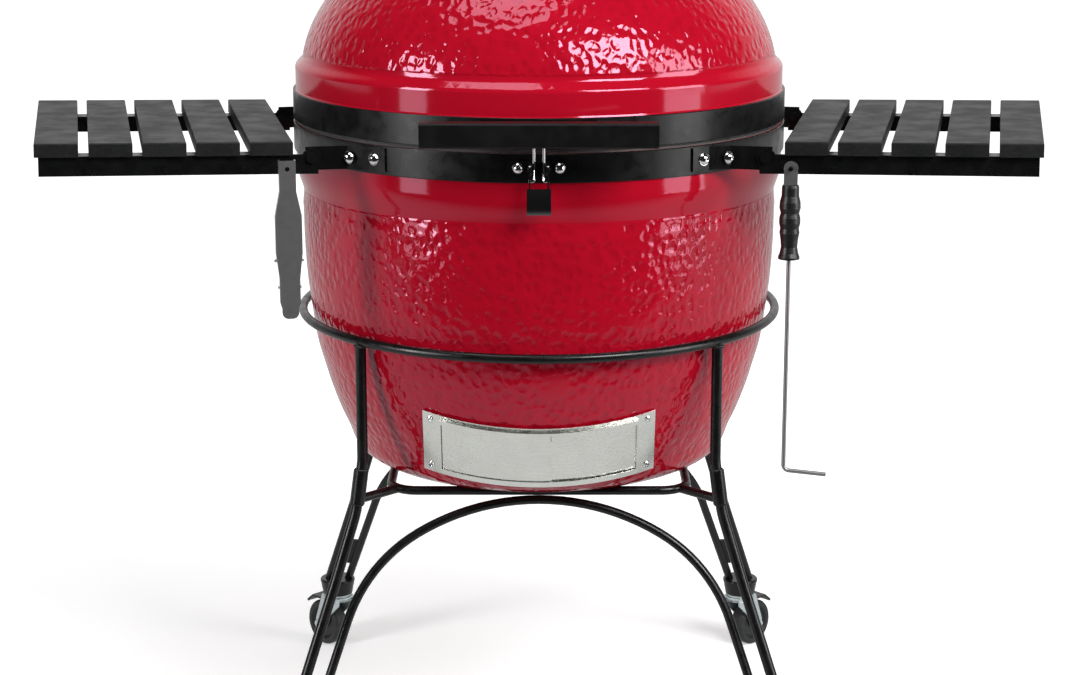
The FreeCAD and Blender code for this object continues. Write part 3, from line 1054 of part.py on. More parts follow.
vent_cap = vent_cap.cut(Part.makeCylinder(4.0 + FIT, 40.0, V(0, CAP_PIN.y, VENT_SEAT_Z - 10)))
daisy_z0 = cap_z0 + cap_t + 0.4
daisy_t = 5.0
centre_pin = Part.makeCylinder(4.0, cap_t + daisy_t + 4.0, V(0, 0, cap_z0 + 1.0))
centre_head = Part.makeCylinder(8.0, 3.0, V(0, 0, daisy_z0 + daisy_t + 0.4))
vent_cap = fused([vent_cap, centre_pin, centre_head])
save("vent_cap", vent_cap)
daisy_r = VENT_HOLE_R - 12.0
knob_y = -(daisy_r - 4.0)
daisy = Part.makeCylinder(daisy_r, daisy_t, V(0, 0, daisy_z0))
for p in petals:
    daisy = daisy.cut(p)
knob_stem = Part.makeCylinder(4.0, 18.0, V(0, knob_y, daisy_z0 + daisy_t - 1.0))
knob_ball = Part.makeSphere(9.0, V(0, knob_y, daisy_z0 + daisy_t + 22.0))
daisy = fused([daisy, Part.makeCylinder(7.0, daisy_t, V(0, knob_y, daisy_z0)), knob_stem, knob_ball])
daisy = daisy.cut(Part.makeCylinder(4.0 + FIT, 40.0, V(0, 0, daisy_z0 - 5)))
save("vent_daisy", daisy)

# ---------------------------------------------------------------- inside the pot
INNER_Z = POT_BOTTOM_Z + FLOOR_T
PLATE_LOW = INNER_Z + 53.0
PLATE_TOP = PLATE_LOW + 17.0
RACK_Z = JOINT_Z - 137.5          # middle of the rack's lower ring
WIRE_R = 3.5
RING_TOP = RACK_Z - WIRE_R
FIRE_TOP = PLATE_TOP + (RING_TOP - PLATE_TOP) * 0.6
FIRE_SECTORS = 8
SECTOR_GAP = 1.0
foot_wall = turned([(RIM_IN_R - 136.0, INNER_Z), (RIM_IN_R - 111.0, INNER_Z),
                    (RIM_IN_R - 94.0, INNER_Z + 30.0), (RIM_IN_R - 85.0, PLATE_LOW),
                    (RIM_IN_R - 111.0, PLATE_LOW), (RIM_IN_R - 121.0, INNER_Z + 20.0)])
fire_plate = turned([(105.0, PLATE_LOW), (RIM_IN_R - 85.0, PLATE_LOW), (RIM_IN_R - 78.0, PLATE_TOP),
                     (105.0, PLATE_TOP)])
WALL_RISE = FIRE_TOP - PLATE_TOP
fire_wall = turned([(RIM_IN_R - 111.0, PLATE_TOP), (RIM_IN_R - 78.0, PLATE_TOP),
                    (RIM_IN_R - 54.0, PLATE_TOP + 0.37 * WALL_RISE), (RIM_IN_R - 42.0, FIRE_TOP),
                    (RIM_IN_R - 76.0, FIRE_TOP)])
ash_door = block(-112.0, 112.0, -BAND_R, 0.0, INNER_Z, PLATE_LOW)


def sector(shape, index):
    """One wedge of a turned wall, with a narrow joint to the next."""
    step = 360.0 / FIRE_SECTORS
    wedge = Part.makeCylinder(2 * BAND_R, 2 * JOINT_Z, V(0, 0, 0), V(0, 0, 1), step)
    wedge.rotate(V(0, 0, 0), V(0, 0, 1), step * index)
    joint = block(0, 2 * BAND_R, 0, SECTOR_GAP, 0, 2 * JOINT_Z)
    joint.rotate(V(0, 0, 0), V(0, 0, 1), step * index)
    return shape.common(wedge).cut(joint)


firebox = []
for index in range(FIRE_SECTORS):
    foot_part = sector(foot_wall, index).cut(ash_door)
    firebox += [f for f in foot_part.Solids if f.Volume > 20000.0]
    firebox.append(sector(fire_plate, index))
    firebox.append(sector(fire_wall, index))
save("firebox", firebox)
fire_ring = turned([(RIM_IN_R - 78.0, FIRE_TOP), (RIM_IN_R - 40.0, FIRE_TOP), (RIM_IN_R - 26.0, RING_TOP),
                    (RIM_IN_R - 54.0, RING_TOP)])
save("fire_ring", [sector(fire_ring, index) for index in range(FIRE_SECTORS)])
COAL_R = RIM_IN_R - 128.0
coal = Part.makeCylinder(COAL_R, 8.0, V(0, 0, PLATE_TOP))
slots = []
slot_pitch = 23.0
for k in range(-7, 8):
    x = k * slot_pitch
    reach = math.sqrt(max(0.0, (COAL_R - 16.0) ** 2 - x ** 2))
    if reach > 20:
        slots.append(block(x - 5.0, x + 5.0, -reach, -8.0, PLATE_TOP - 5.0, PLATE_TOP + 15.0))
        slots.append(block(x - 5.0, x + 5.0, 8.0, reach, PLATE_TOP - 5.0, PLATE_TOP + 15.0))
coal = coal.cut(Part.makeCompound(slots))
save("charcoal_grate", coal)

# Rack of welded wire: two rings in arcs between posts, and three bars under the stones
RACK_R = RIM_IN_R - 30.0
RACK_HEIGHT = 89.5
RACK_ARCS = 12
rack_parts = []
for level in (RACK_Z, RACK_Z + RACK_HEIGHT):
    for k in range(RACK_ARCS):
        arc = Part.makeTorus(RACK_R, WIRE_R, V(0, 0, level), V(0, 0, 1), -180, 180, 360.0 / RACK_ARCS)
        arc.rotate(V(0, 0, 0), V(0, 0, 1), k * 360.0 / RACK_ARCS)
        rack_parts.append(arc)
for k in range(6):
    a = math.radians(30 + 60 * k)
    spot = V(RACK_R * math.cos(a), RACK_R * math.sin(a), RACK_Z + WIRE_R)
    rack_parts.append(Part.makeCylinder(WIRE_R, RACK_HEIGHT - 2 * WIRE_R, spot))
for y in (-115.0, 0.0, 115.0):
    reach = math.sqrt((RACK_R - WIRE_R) ** 2 - (abs(y) + WIRE_R) ** 2)
    rack_parts.append(cylinder(WIRE_R, V(-reach, y, RACK_Z), V(reach, y, RACK_Z)))
save("grate_rack", rack_parts)


def half_moon(shape, sign, gap):
    x0, x1 = sorted((sign * gap, sign * 2 * BAND_R))
    return shape.common(block(x0, x1, -2 * BAND_R, 2 * BAND_R, 0, 2 * JOINT_Z))


stone = Part.makeCylinder(RIM_IN_R - 61.0, 12.0, V(0, 0, RACK_Z + WIRE_R))
save("deflectors", [half_moon(stone, -1, 2.0), half_moon(stone, 1, 2.0)])
GRATE_R = RIM_IN_R - 20.0
BAR_R = 2.4
CROSS_BAR_R = 2.0                 # thinner, so each cross bar ends inside the bars it is welded to
BAR_PITCH = 19.5
GRATE_Z = RACK_Z + RACK_HEIGHT + WIRE_R + BAR_R
rim_ring = Part.makeTorus(GRATE_R, WIRE_R, V(0, 0, GRATE_Z), V(0, 0, 1))
bars = [half_moon(rim_ring, -1, 6.0)]
x = 9.0
while x < GRATE_R - 8:
    y = math.sqrt(GRATE_R ** 2 - x ** 2)
    bars.append(cylinder(BAR_R, V(-x, -y, GRATE_Z), V(-x, y, GRATE_Z)))
    x += BAR_PITCH
for y in (-150.0, 150.0):
    reach = math.sqrt(GRATE_R ** 2 - y ** 2)
    bars.append(cylinder(CROSS_BAR_R, V(-9.0, y, GRATE_Z), V(-reach, y, GRATE_Z)))
left_half = fused(bars)
right_half = left_half.copy()
right_half.rotate(V(0, 0, 0), V(0, 0, 1), 180)
save("cooking_grates", [left_half, right_half])
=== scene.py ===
"""Looks of a ceramic egg-shaped grill on a rod stand: finishes, trim pieces, light and camera."""

import logging
import math
from dataclasses import dataclass
from enum import Enum
from typing import Optional, Sequence

import bmesh
import bpy
from mathutils import Matrix, Vector


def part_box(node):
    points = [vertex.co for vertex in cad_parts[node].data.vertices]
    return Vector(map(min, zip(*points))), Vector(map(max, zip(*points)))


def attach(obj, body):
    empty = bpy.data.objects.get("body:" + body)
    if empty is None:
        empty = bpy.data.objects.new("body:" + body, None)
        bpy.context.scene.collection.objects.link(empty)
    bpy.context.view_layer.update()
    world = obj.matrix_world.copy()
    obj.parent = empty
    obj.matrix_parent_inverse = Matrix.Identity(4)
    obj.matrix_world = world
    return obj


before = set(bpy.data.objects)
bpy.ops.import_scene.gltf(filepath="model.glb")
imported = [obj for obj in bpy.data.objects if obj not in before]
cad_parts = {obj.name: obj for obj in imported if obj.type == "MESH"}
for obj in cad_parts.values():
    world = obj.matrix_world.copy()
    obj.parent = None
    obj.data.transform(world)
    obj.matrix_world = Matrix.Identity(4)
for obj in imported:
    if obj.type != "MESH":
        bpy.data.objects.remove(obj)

LOG = logging.getLogger("kamado")
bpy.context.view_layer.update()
Colour = tuple[float, float, float]
Point = tuple[float, float, float]


class Side(Enum):
    """Left or right of the grill, as seen from its front."""

    LEFT = -1
    RIGHT = 1


class Stain(Enum):
    """What has marked a bare surface inside the grill."""

    CLEAN = 0.0
    SMOKED = 0.55
    BURNT = 0.85


# ------------------------------------------------------------------ node helpers
class NodeSheet:
    """A thin wrapper for writing shader nodes and their links in a few words."""

    def __init__(self, tree: bpy.types.NodeTree) -> None:
        """Keeps the tree to draw on.

        Args:
            tree: the node tree of a material, a world or a node group.
        """
        self.tree = tree

    def add(self, kind: str, inputs: Optional[dict] = None, **settings: object) -> bpy.types.Node:
        """Adds a node.

        Args:
            kind: the node's class name without the ShaderNode prefix.
            inputs: socket name or number to a value, or to a socket to link from.
            settings: properties set on the node itself.

        Returns:
            The new node.
        """
        node = self.tree.nodes.new("ShaderNode" + kind)
        for name, value in settings.items():
            setattr(node, name, value)
        for key, value in (inputs or {}).items():
            self.feed(node.inputs[key], value)
        return node

    def feed(self, socket: bpy.types.NodeSocket, value: object) -> None:
        """Links a socket to another, or sets its value.

        Args:
            socket: the input to fill.
            value: a socket, a number, a colour or a vector.
        """
        if isinstance(value, bpy.types.NodeSocket):
            self.tree.links.new(value, socket)
        else:
            socket.default_value = value

    def math(self, operation: str, *values: object, clamp: bool = False) -> bpy.types.NodeSocket:
        """Adds a Math node and returns its output.

        Args:
            operation: the operation's name, such as MULTIPLY.
            values: up to three inputs.
            clamp: keeps the result between 0 and 1.

        Returns:
            The node's output socket.
        """
        node = self.add("Math", dict(enumerate(values)), operation=operation, use_clamp=clamp)
        return node.outputs[0]

    def vector(self, operation: str, *values: object) -> bpy.types.Node:
        """Adds a Vector Math node and returns the node.

        Args:
            operation: the operation's name, such as SUBTRACT.
            values: its inputs in order.

        Returns:
            The node.
        """
        return self.add("VectorMath", dict(enumerate(values)), operation=operation)

    def ramp(self, value: object, low: float, high: float, to_low: float = 0.0, to_high: float = 1.0,
             smooth: bool = True) -> bpy.types.NodeSocket:
        """Maps a value from one range to another, clamped.

        Args:
            value: what is mapped.
            low: where the range starts.
            high: where the range ends.
            to_low: result at the start.
            to_high: result at the end.
            smooth: eases both ends.

        Returns:
            The mapped value's socket.
        """
        node = self.add("MapRange", {"Value": value, "From Min": low, "From Max": high,
                                     "To Min": to_low, "To Max": to_high},
                        interpolation_type="SMOOTHSTEP" if smooth else "LINEAR")
        return node.outputs["Result"]

    def mix(self, factor: object, a: object, b: object, blend: str = "MIX") -> bpy.types.NodeSocket:
        """Mixes two colours.

        Args:
            factor: how much of the second colour.
            a: the first colour.
            b: the second colour.
            blend: the blend mode.

        Returns:
            The mixed colour's socket.
        """
        node = self.add("Mix", data_type="RGBA", blend_type=blend)
        self.feed(node.inputs[0], factor)
        self.feed(node.inputs[6], a)
        self.feed(node.inputs[7], b)
        return node.outputs[2]

    def group(self, tree: bpy.types.NodeTree, **inputs: object) -> bpy.types.Node:
        """Places a shared effect.

        Args:
            tree: the effect's node group.
            inputs: its inputs by name, with underscores for spaces.

        Returns:
            The group node.
        """
        node = self.tree.nodes.new("ShaderNodeGroup")
        node.node_tree = tree
        for name, value in inputs.items():
            self.feed(node.inputs[name.replace("_", " ")], value)
        return node


def colour4(colour: Colour) -> tuple[float, float, float, float]:
    """Adds full alpha to a colour."""
    return (*colour, 1.0)


# ------------------------------------------------------------------ shared effects
class Effects:
    """Node groups that several finishes share. Each is built once, on first use."""

    def __init__(self) -> None:
        """Starts with nothing built."""
        self.made: dict[str, bpy.types.NodeTree] = {}

    def _start(self, name: str, inputs: dict[str, tuple[str, object]],
               outputs: dict[str, str]) -> tuple[bpy.types.NodeTree, NodeSheet, bpy.types.Node, bpy.types.Node]:
        """Makes an empty group with its sockets.

        Args:
            name: the group's name.
            inputs: socket name to its type and default.
            outputs: socket name to its type.

        Returns:
            The tree, its sheet, and its input and output nodes.
        """
        tree = bpy.data.node_groups.new(name, "ShaderNodeTree")
        for label, (kind, default) in inputs.items():
            socket = tree.interface.new_socket(label, in_out="INPUT", socket_type="NodeSocket" + kind)
            socket.default_value = default
        for label, kind in outputs.items():
            tree.interface.new_socket(label, in_out="OUTPUT", socket_type="NodeSocket" + kind)
        source = tree.nodes.new("NodeGroupInput")
        sink = tree.nodes.new("NodeGroupOutput")
        self.made[name] = tree
        return tree, NodeSheet(tree), source, sink

    def fine_grain(self) -> bpy.types.NodeTree:
        """Soft mottling at two scales, for colour and roughness that is never quite even.

        Returns:
            The group, with Scale and Stretch inputs and Broad and Fine outputs.
        """
        if "fine_grain" in self.made:
            return self.made["fine_grain"]
        tree, sheet, source, sink = self._start(
            "fine_grain", {"Scale": ("Float", 40.0), "Stretch": ("Vector", (1.0, 1.0, 1.0))},
            {"Broad": "Float", "Fine": "Float"})
        place = sheet.add("TexCoord").outputs["Object"]
        stretched = sheet.vector("MULTIPLY", place, source.outputs["Stretch"]).outputs[0]
        broad = sheet.add("TexNoise", {"Vector": stretched, "Scale": source.outputs["Scale"],
                                       "Detail": 3.0, "Roughness": 0.55})
        finer = sheet.math("MULTIPLY", source.outputs["Scale"], 9.0)
        fine = sheet.add("TexNoise", {"Vector": stretched, "Scale": finer, "Detail": 4.0, "Roughness": 0.6})
        sheet.feed(sink.inputs["Broad"], broad.outputs[0])
        sheet.feed(sink.inputs["Fine"], fine.outputs[0])
        return tree

    def edge_wear(self) -> bpy.types.NodeTree:
        """Mask of corners where a coat rubs thin.

        Returns:
            The group, with Width and Breakup inputs and a Mask output.
        """
        if "edge_wear" in self.made:
            return self.made["edge_wear"]
        tree, sheet, source, sink = self._start(
            "edge_wear", {"Width": ("Float", 0.0012), "Breakup": ("Float", 0.5)}, {"Mask": "Float"})
        bevel = sheet.add("Bevel", {"Radius": source.outputs["Width"]}, samples=4)
        plain = sheet.add("NewGeometry").outputs["Normal"]
        agree = sheet.vector("DOT_PRODUCT", bevel.outputs[0], plain).outputs["Value"]
        edge = sheet.ramp(agree, 0.995, 0.90)
        grain = sheet.group(self.fine_grain(), Scale=90.0)
        cut = sheet.math("MULTIPLY", grain.outputs["Broad"], source.outputs["Breakup"])
        worn = sheet.math("SUBTRACT", edge, cut, clamp=True)
        sheet.feed(sink.inputs["Mask"], worn)
        return tree

    def pebbled_skin(self) -> bpy.types.NodeTree:
        """Height of a glaze drawn into small close hollows, each its own size and lean.

        Returns:
            The group, with Scale, Depth and Sway inputs, a Height output in metres and a Hollow mask.
        """
        if "pebbled_skin" in self.made:
            return self.made["pebbled_skin"]
        tree, sheet, source, sink = self._start(
            "pebbled_skin", {"Scale": ("Float", 84.0), "Depth": ("Float", 0.0009), "Sway": ("Float", 0.011)},
            {"Height": "Float", "Hollow": "Float"})
        place = sheet.add("TexCoord").outputs["Object"]
        drift = sheet.add("TexNoise", {"Vector": place, "Scale": 52.0, "Detail": 1.0})
        centred = sheet.vector("SUBTRACT", drift.outputs["Color"], (0.5, 0.5, 0.5)).outputs[0]
        pushed = sheet.add("VectorMath", {0: centred, "Scale": source.outputs["Sway"]}, operation="SCALE").outputs[0]
        moved = sheet.vector("ADD", place, pushed).outputs[0]
        drawn = sheet.vector("MULTIPLY", moved, (1.0, 1.0, 0.78)).outputs[0]
        cells = sheet.add("TexVoronoi", {"Vector": drawn, "Scale": source.outputs["Scale"], "Randomness": 0.9,
                                         "Smoothness": 0.28}, feature="SMOOTH_F1")
        bowl = sheet.ramp(cells.outputs["Distance"], 0.10, 0.72)
        swell = sheet.add("TexNoise", {"Vector": place, "Scale": 120.0, "Detail": 1.5})
        shallow = sheet.math("MULTIPLY", bowl, source.outputs["Depth"])
        ripple = sheet.math("MULTIPLY", swell.outputs[0], sheet.math("MULTIPLY", source.outputs["Depth"], 0.42))
        sheet.feed(sink.inputs["Height"], sheet.math("ADD", shallow, ripple))
        sheet.feed(sink.inputs["Hollow"], sheet.math("SUBTRACT", 1.0, bowl))
        return tree

    def brushed_lines(self) -> bpy.types.NodeTree:
        """Fine straight scratches left by a belt, for sheet metal.

        Returns:
            The group, with Along and Scale inputs and a Lines output.
        """
        if "brushed_lines" in self.made:
            return self.made["brushed_lines"]
        tree, sheet, source, sink = self._start(
            "brushed_lines", {"Along": ("Vector", (0.02, 1.0, 1.0)), "Scale": ("Float", 900.0)}, {"Lines": "Float"})
        place = sheet.add("TexCoord").outputs["Object"]
        drawn = sheet.vector("MULTIPLY", place, source.outputs["Along"]).outputs[0]
        lines = sheet.add("TexNoise", {"Vector": drawn, "Scale": source.outputs["Scale"], "Detail": 3.0,
                                       "Roughness": 0.7})
        sheet.feed(sink.inputs["Lines"], lines.outputs[0])
        return tree


EFFECTS = Effects()


# ------------------------------------------------------------------ finishes
@dataclass(frozen=True)
class Finish:
    """A finish and how it is turned into a material.

    Attributes:
        name: the material's name.
        colour: main colour.
        roughness: main roughness.
        metallic: 1 for bare metal.
    """

    name: str
    colour: Colour
    roughness: float
    metallic: float = 0.0

    def material(self) -> bpy.types.Material:
        """Returns the material, made on the first call."""
        made = bpy.data.materials.get(self.name)
        if made:
            return made
        made = bpy.data.materials.new(self.name)
        made.use_nodes = True
        made.node_tree.nodes.clear()
        sheet = NodeSheet(made.node_tree)
        shader = sheet.add("BsdfPrincipled", {"Base Color": colour4(self.colour), "Roughness": self.roughness,
                                              "Metallic": self.metallic})
        sheet.add("OutputMaterial", {"Surface": shader.outputs[0]})
        self.dress(sheet, shader)
        return made

    def dress(self, sheet: NodeSheet, shader: bpy.types.Node) -> None:
        """Adds the finish's own detail to the plain shader.

        Args:
            sheet: where nodes are drawn.
            shader: the Principled shader.
        """

    def bump(self, sheet: NodeSheet, shader: bpy.types.Node, height: object, strength: float = 1.0,
             distance: float = 1.0) -> None:
        """Feeds a height to the shader's normal.

        Args:
            sheet: where nodes are drawn.
            shader: the Principled shader.
            height: height socket, in metres when distance is 1.
            strength: how much the bump counts.
            distance: scale of the height.
        """
        node = sheet.add("Bump", {"Height": height, "Strength": strength, "Distance": distance})
        sheet.feed(shader.inputs["Normal"], node.outputs[0])


@dataclass(frozen=True)
class Glaze(Finish):
    """Deep red glaze over pebbled ceramic, with a smooth collar and a bare, smoked inside.

    Attributes:
        skin_low: height where the pebbled skin starts, in metres.
        skin_high: height where it ends.
        centre_z: height of a point inside the shell, used to tell the inside from the outside.
        bare: the ceramic under the glaze.
        stain: how the inside is marked by the fire.
    """

    skin_low: float = 0.0
    skin_high: float = 1.0
    centre_z: float = 0.7
    bare: Colour = (0.50, 0.42, 0.33)
    stain: Stain = Stain.SMOKED

    def dress(self, sheet: NodeSheet, shader: bpy.types.Node) -> None:
        """Lays the skin, a darker red towards the middle of each hollow, and the bare inside."""
        place = sheet.add("TexCoord").outputs["Object"]
        split = sheet.add("SeparateXYZ", {0: place})
        glazed = self.outside(sheet, place)
        edge = 0.002
        above = sheet.ramp(split.outputs[2], self.skin_low - edge, self.skin_low + edge)
        below = sheet.ramp(split.outputs[2], self.skin_high + edge, self.skin_high - edge)
        skin = sheet.math("MULTIPLY", sheet.math("MULTIPLY", above, below), glazed)
        pebbles = sheet.group(EFFECTS.pebbled_skin())
        grit = sheet.add("TexNoise", {"Vector": place, "Scale": 900.0, "Detail": 2.0})
        rough_side = sheet.math("MULTIPLY", sheet.math("MULTIPLY", grit.outputs[0], 0.00025),
                                sheet.math("SUBTRACT", 1.0, glazed))
        still = sheet.add("TexNoise", {"Vector": place, "Scale": 26.0, "Detail": 1.0})
        wave = sheet.math("MULTIPLY", still.outputs[0], 0.00016)
        height = sheet.math("MULTIPLY_ADD", pebbles.outputs["Height"], skin, sheet.math("ADD", wave, rough_side))
        self.bump(sheet, shader, height)
        mottle = sheet.group(EFFECTS.fine_grain(), Scale=14.0)
        deep = tuple(c * 0.70 for c in self.colour)
        # darker red towards the middle of each hollow of the pebbled skin
        hollow_darkening = sheet.math("MULTIPLY", sheet.math("MULTIPLY", pebbles.outputs["Hollow"], skin), 0.40)
        red = sheet.mix(hollow_darkening, colour4(self.colour), colour4(deep))
        red = sheet.mix(sheet.ramp(mottle.outputs["Broad"], 0.35, 0.75, 0.0, 0.22), red, colour4(deep))
        body = sheet.mix(sheet.ramp(mottle.outputs["Fine"], 0.3, 0.7, 0.0, 0.5), colour4(self.bare),
                         colour4(tuple(c * 0.7 for c in self.bare)))
        soot = sheet.ramp(mottle.outputs["Broad"], 0.25, 0.65, self.stain.value * 0.5, self.stain.value)
        body = sheet.mix(soot, body, (0.035, 0.028, 0.022, 1.0))
        sheet.feed(shader.inputs["Base Color"], sheet.mix(glazed, body, red))
        sheet.feed(shader.inputs["Roughness"], sheet.ramp(glazed, 0.0, 1.0, 0.85, self.roughness, smooth=False))
        shader.inputs["IOR"].default_value = 1.60
        shader.inputs["Specular Tint"].default_value = (1.0, 0.62, 0.84, 1.0)

    def outside(self, sheet: NodeSheet, place: bpy.types.NodeSocket) -> bpy.types.NodeSocket:
        """Mask that is 1 on the outer skin and 0 on the inside and the rims.

        Args:
            sheet: where nodes are drawn.
            place: the object coordinates.

        Returns:
            The mask's socket.
        """
        normal = sheet.add("VectorTransform", {"Vector": sheet.add("NewGeometry").outputs["Normal"]},
                           vector_type="NORMAL", convert_from="WORLD", convert_to="OBJECT").outputs[0]
        outward = sheet.vector("SUBTRACT", place, (0.0, 0.0, self.centre_z)).outputs[0]
        facing = sheet.vector("DOT_PRODUCT", sheet.vector("NORMALIZE", outward).outputs[0], normal)
        return sheet.ramp(facing.outputs["Value"], 0.02, 0.10)


@dataclass(frozen=True)
class SatinPaint(Finish):
    """Black powder coat with a faint orange peel, dull patches and rubbed corners."""

    peel: float = 0.00002
    wear: float = 0.35
    sheen: float = 0.5

    def dress(self, sheet: NodeSheet, shader: bpy.types.Node) -> None:
        """Adds peel, uneven sheen and worn edges."""
        grain = sheet.group(EFFECTS.fine_grain(), Scale=55.0)
        worn = sheet.group(EFFECTS.edge_wear(), Width=0.0008, Breakup=0.9)
        rubbed = sheet.math("MULTIPLY", worn.outputs[0], self.wear)
        lighter = tuple(c * 2.4 + 0.03 for c in self.colour)
        sheet.feed(shader.inputs["Base Color"], sheet.mix(rubbed, colour4(self.colour), colour4(lighter)))
        sheet.feed(shader.inputs["Roughness"], sheet.ramp(grain.outputs["Broad"], 0.3, 0.7, self.roughness - 0.05,
                                                          self.roughness + 0.07))
        height = sheet.math("MULTIPLY", grain.outputs["Fine"], self.peel)
        self.bump(sheet, shader, height)
        shader.inputs["Specular IOR Level"].default_value = self.sheen


@dataclass(frozen=True)
class SlatBoard(Finish):
    """Dark moulded board with a faint long grain."""

    def dress(self, sheet: NodeSheet, shader: bpy.types.Node) -> None:
        """Adds long grain, mottled tone and paler edges."""
        shader.inputs["Specular IOR Level"].default_value = 0.30
        place = sheet.add("TexCoord").outputs["Object"]
        long_way = sheet.vector("MULTIPLY", place, (1.0, 0.06, 1.0)).outputs[0]
        grain = sheet.add("TexNoise", {"Vector": long_way, "Scale": 260.0, "Detail": 4.0, "Roughness": 0.65})
        mottle = sheet.group(EFFECTS.fine_grain(), Scale=22.0)
        worn = sheet.group(EFFECTS.edge_wear(), Width=0.0012, Breakup=0.6)
        lighter = tuple(c * 1.7 + 0.012 for c in self.colour)
        tone = sheet.mix(sheet.ramp(grain.outputs[0], 0.35, 0.7, 0.0, 0.35), colour4(self.colour), colour4(lighter))
        tone = sheet.mix(sheet.math("MULTIPLY", worn.outputs[0], 0.4), tone, colour4(lighter))
        sheet.feed(shader.inputs["Base Color"], tone)
        sheet.feed(shader.inputs["Roughness"], sheet.ramp(mottle.outputs["Broad"], 0.3, 0.7, self.roughness - 0.06,
                                                          self.roughness + 0.08))
        height = sheet.math("ADD", sheet.math("MULTIPLY", grain.outputs[0], 0.00008),
                            sheet.math("MULTIPLY", mottle.outputs["Fine"], 0.00005))
        self.bump(sheet, shader, height)


@dataclass(frozen=True)
class BrushedSteel(Finish):
    """Bare sheet metal with belt lines.

    Attributes:
        along: how the lines are stretched; a small number runs them that way.
    """

    along: Point = (0.02, 1.0, 1.0)
    scale: float = 700.0
    depth: float = 0.00001

    def dress(self, sheet: NodeSheet, shader: bpy.types.Node) -> None:
        """Adds lines, stains and soft corners."""
        lines = sheet.group(EFFECTS.brushed_lines(), Along=self.along, Scale=self.scale)
        grain = sheet.group(EFFECTS.fine_grain(), Scale=30.0)
        dark = tuple(c * 0.8 for c in self.colour)
        tone = sheet.mix(sheet.ramp(grain.outputs["Broad"], 0.35, 0.75, 0.0, 0.35), colour4(self.colour),
                         colour4(dark))
        tone = sheet.mix(sheet.ramp(lines.outputs[0], 0.35, 0.65, 0.0, 0.25), tone, colour4(dark))
        sheet.feed(shader.inputs["Base Color"], tone)
        sheet.feed(shader.inputs["Roughness"], sheet.ramp(lines.outputs[0], 0.3, 0.7, self.roughness - 0.08,
                                                          self.roughness + 0.1))
        self.bump(sheet, shader, sheet.math("MULTIPLY", lines.outputs[0], self.depth))


@dataclass(frozen=True)
class Plating(Finish):
    """Bright plating with faint haze and handling marks."""

    haze: float = 0.12
    ripple: float = 0.00004

    def dress(self, sheet: NodeSheet, shader: bpy.types.Node) -> None:
        """Adds haze and the ripples of the metal beneath."""
        grain = sheet.group(EFFECTS.fine_grain(), Scale=80.0)
        dark = tuple(c * 0.75 for c in self.colour)
        sheet.feed(shader.inputs["Base Color"], sheet.mix(sheet.ramp(grain.outputs["Broad"], 0.4, 0.8, 0.0, 0.4),
                                                          colour4(self.colour), colour4(dark)))
        sheet.feed(shader.inputs["Roughness"], sheet.ramp(grain.outputs["Fine"], 0.3, 0.7, self.roughness,
                                                          self.roughness + self.haze))
        self.bump(sheet, shader, sheet.math("MULTIPLY", grain.outputs["Broad"], self.ripple))


@dataclass(frozen=True)
class Rubber(Finish):
    """Rubber or moulded plastic with a fine matt skin and a little dust."""

    dust: float = 0.12

    def dress(self, sheet: NodeSheet, shader: bpy.types.Node) -> None:
        """Adds skin grain and dust."""
        grain = sheet.group(EFFECTS.fine_grain(), Scale=120.0)
        pale = tuple(min(1.0, c + 0.10) for c in self.colour)
        sheet.feed(shader.inputs["Base Color"], sheet.mix(sheet.ramp(grain.outputs["Broad"], 0.45, 0.8, 0.0, self.dust),
                                                          colour4(self.colour), colour4(pale)))
        sheet.feed(shader.inputs["Roughness"], sheet.ramp(grain.outputs["Fine"], 0.3, 0.7, self.roughness - 0.06,
                                                          self.roughness + 0.08))
        self.bump(sheet, shader, sheet.math("MULTIPLY", grain.outputs["Fine"], 0.00006))


@dataclass(frozen=True)
class Casting(Finish):
    """Sand-cast iron or fired clay: pitted, dry and uneven.

    Attributes:
        grit: height of the grain in metres.
        grit_scale: how fine it is.
        second: colour of the patches.
    """

    grit: float = 0.0002
    grit_scale: float = 420.0
    second: Colour = (0.1, 0.1, 0.1)

    def dress(self, sheet: NodeSheet, shader: bpy.types.Node) -> None:
        """Adds pits and patches."""
        grain = sheet.group(EFFECTS.fine_grain(), Scale=18.0)
        place = sheet.add("TexCoord").outputs["Object"]
        pits = sheet.add("TexNoise", {"Vector": place, "Scale": self.grit_scale, "Detail": 3.0})
        sheet.feed(shader.inputs["Base Color"], sheet.mix(sheet.ramp(grain.outputs["Broad"], 0.35, 0.7, 0.0, 0.6),
                                                          colour4(self.colour), colour4(self.second)))
        sheet.feed(shader.inputs["Roughness"], sheet.ramp(pits.outputs[0], 0.3, 0.7, self.roughness - 0.1,
                                                          self.roughness + 0.05))
        self.bump(sheet, shader, sheet.math("MULTIPLY", pits.outputs[0], self.grit))


@dataclass(frozen=True)
class Felt(Finish):
    """Woven gasket felt."""

    def dress(self, sheet: NodeSheet, shader: bpy.types.Node) -> None:
        """Adds a plain weave and fuzz."""
        place = sheet.add("TexCoord").outputs["Object"]
        weave = sheet.add("TexVoronoi", {"Vector": place, "Scale": 700.0})
        fuzz = sheet.add("TexNoise", {"Vector": place, "Scale": 1500.0, "Detail": 3.0})
        pale = tuple(c * 1.8 for c in self.colour)
        sheet.feed(shader.inputs["Base Color"], sheet.mix(fuzz.outputs[0], colour4(self.colour), colour4(pale)))
        sheet.feed(shader.inputs["Roughness"], sheet.ramp(fuzz.outputs[0], 0.2, 0.8, 0.85, 1.0))
        self.bump(sheet, shader, sheet.math("MULTIPLY", weave.outputs[0], 0.0004))


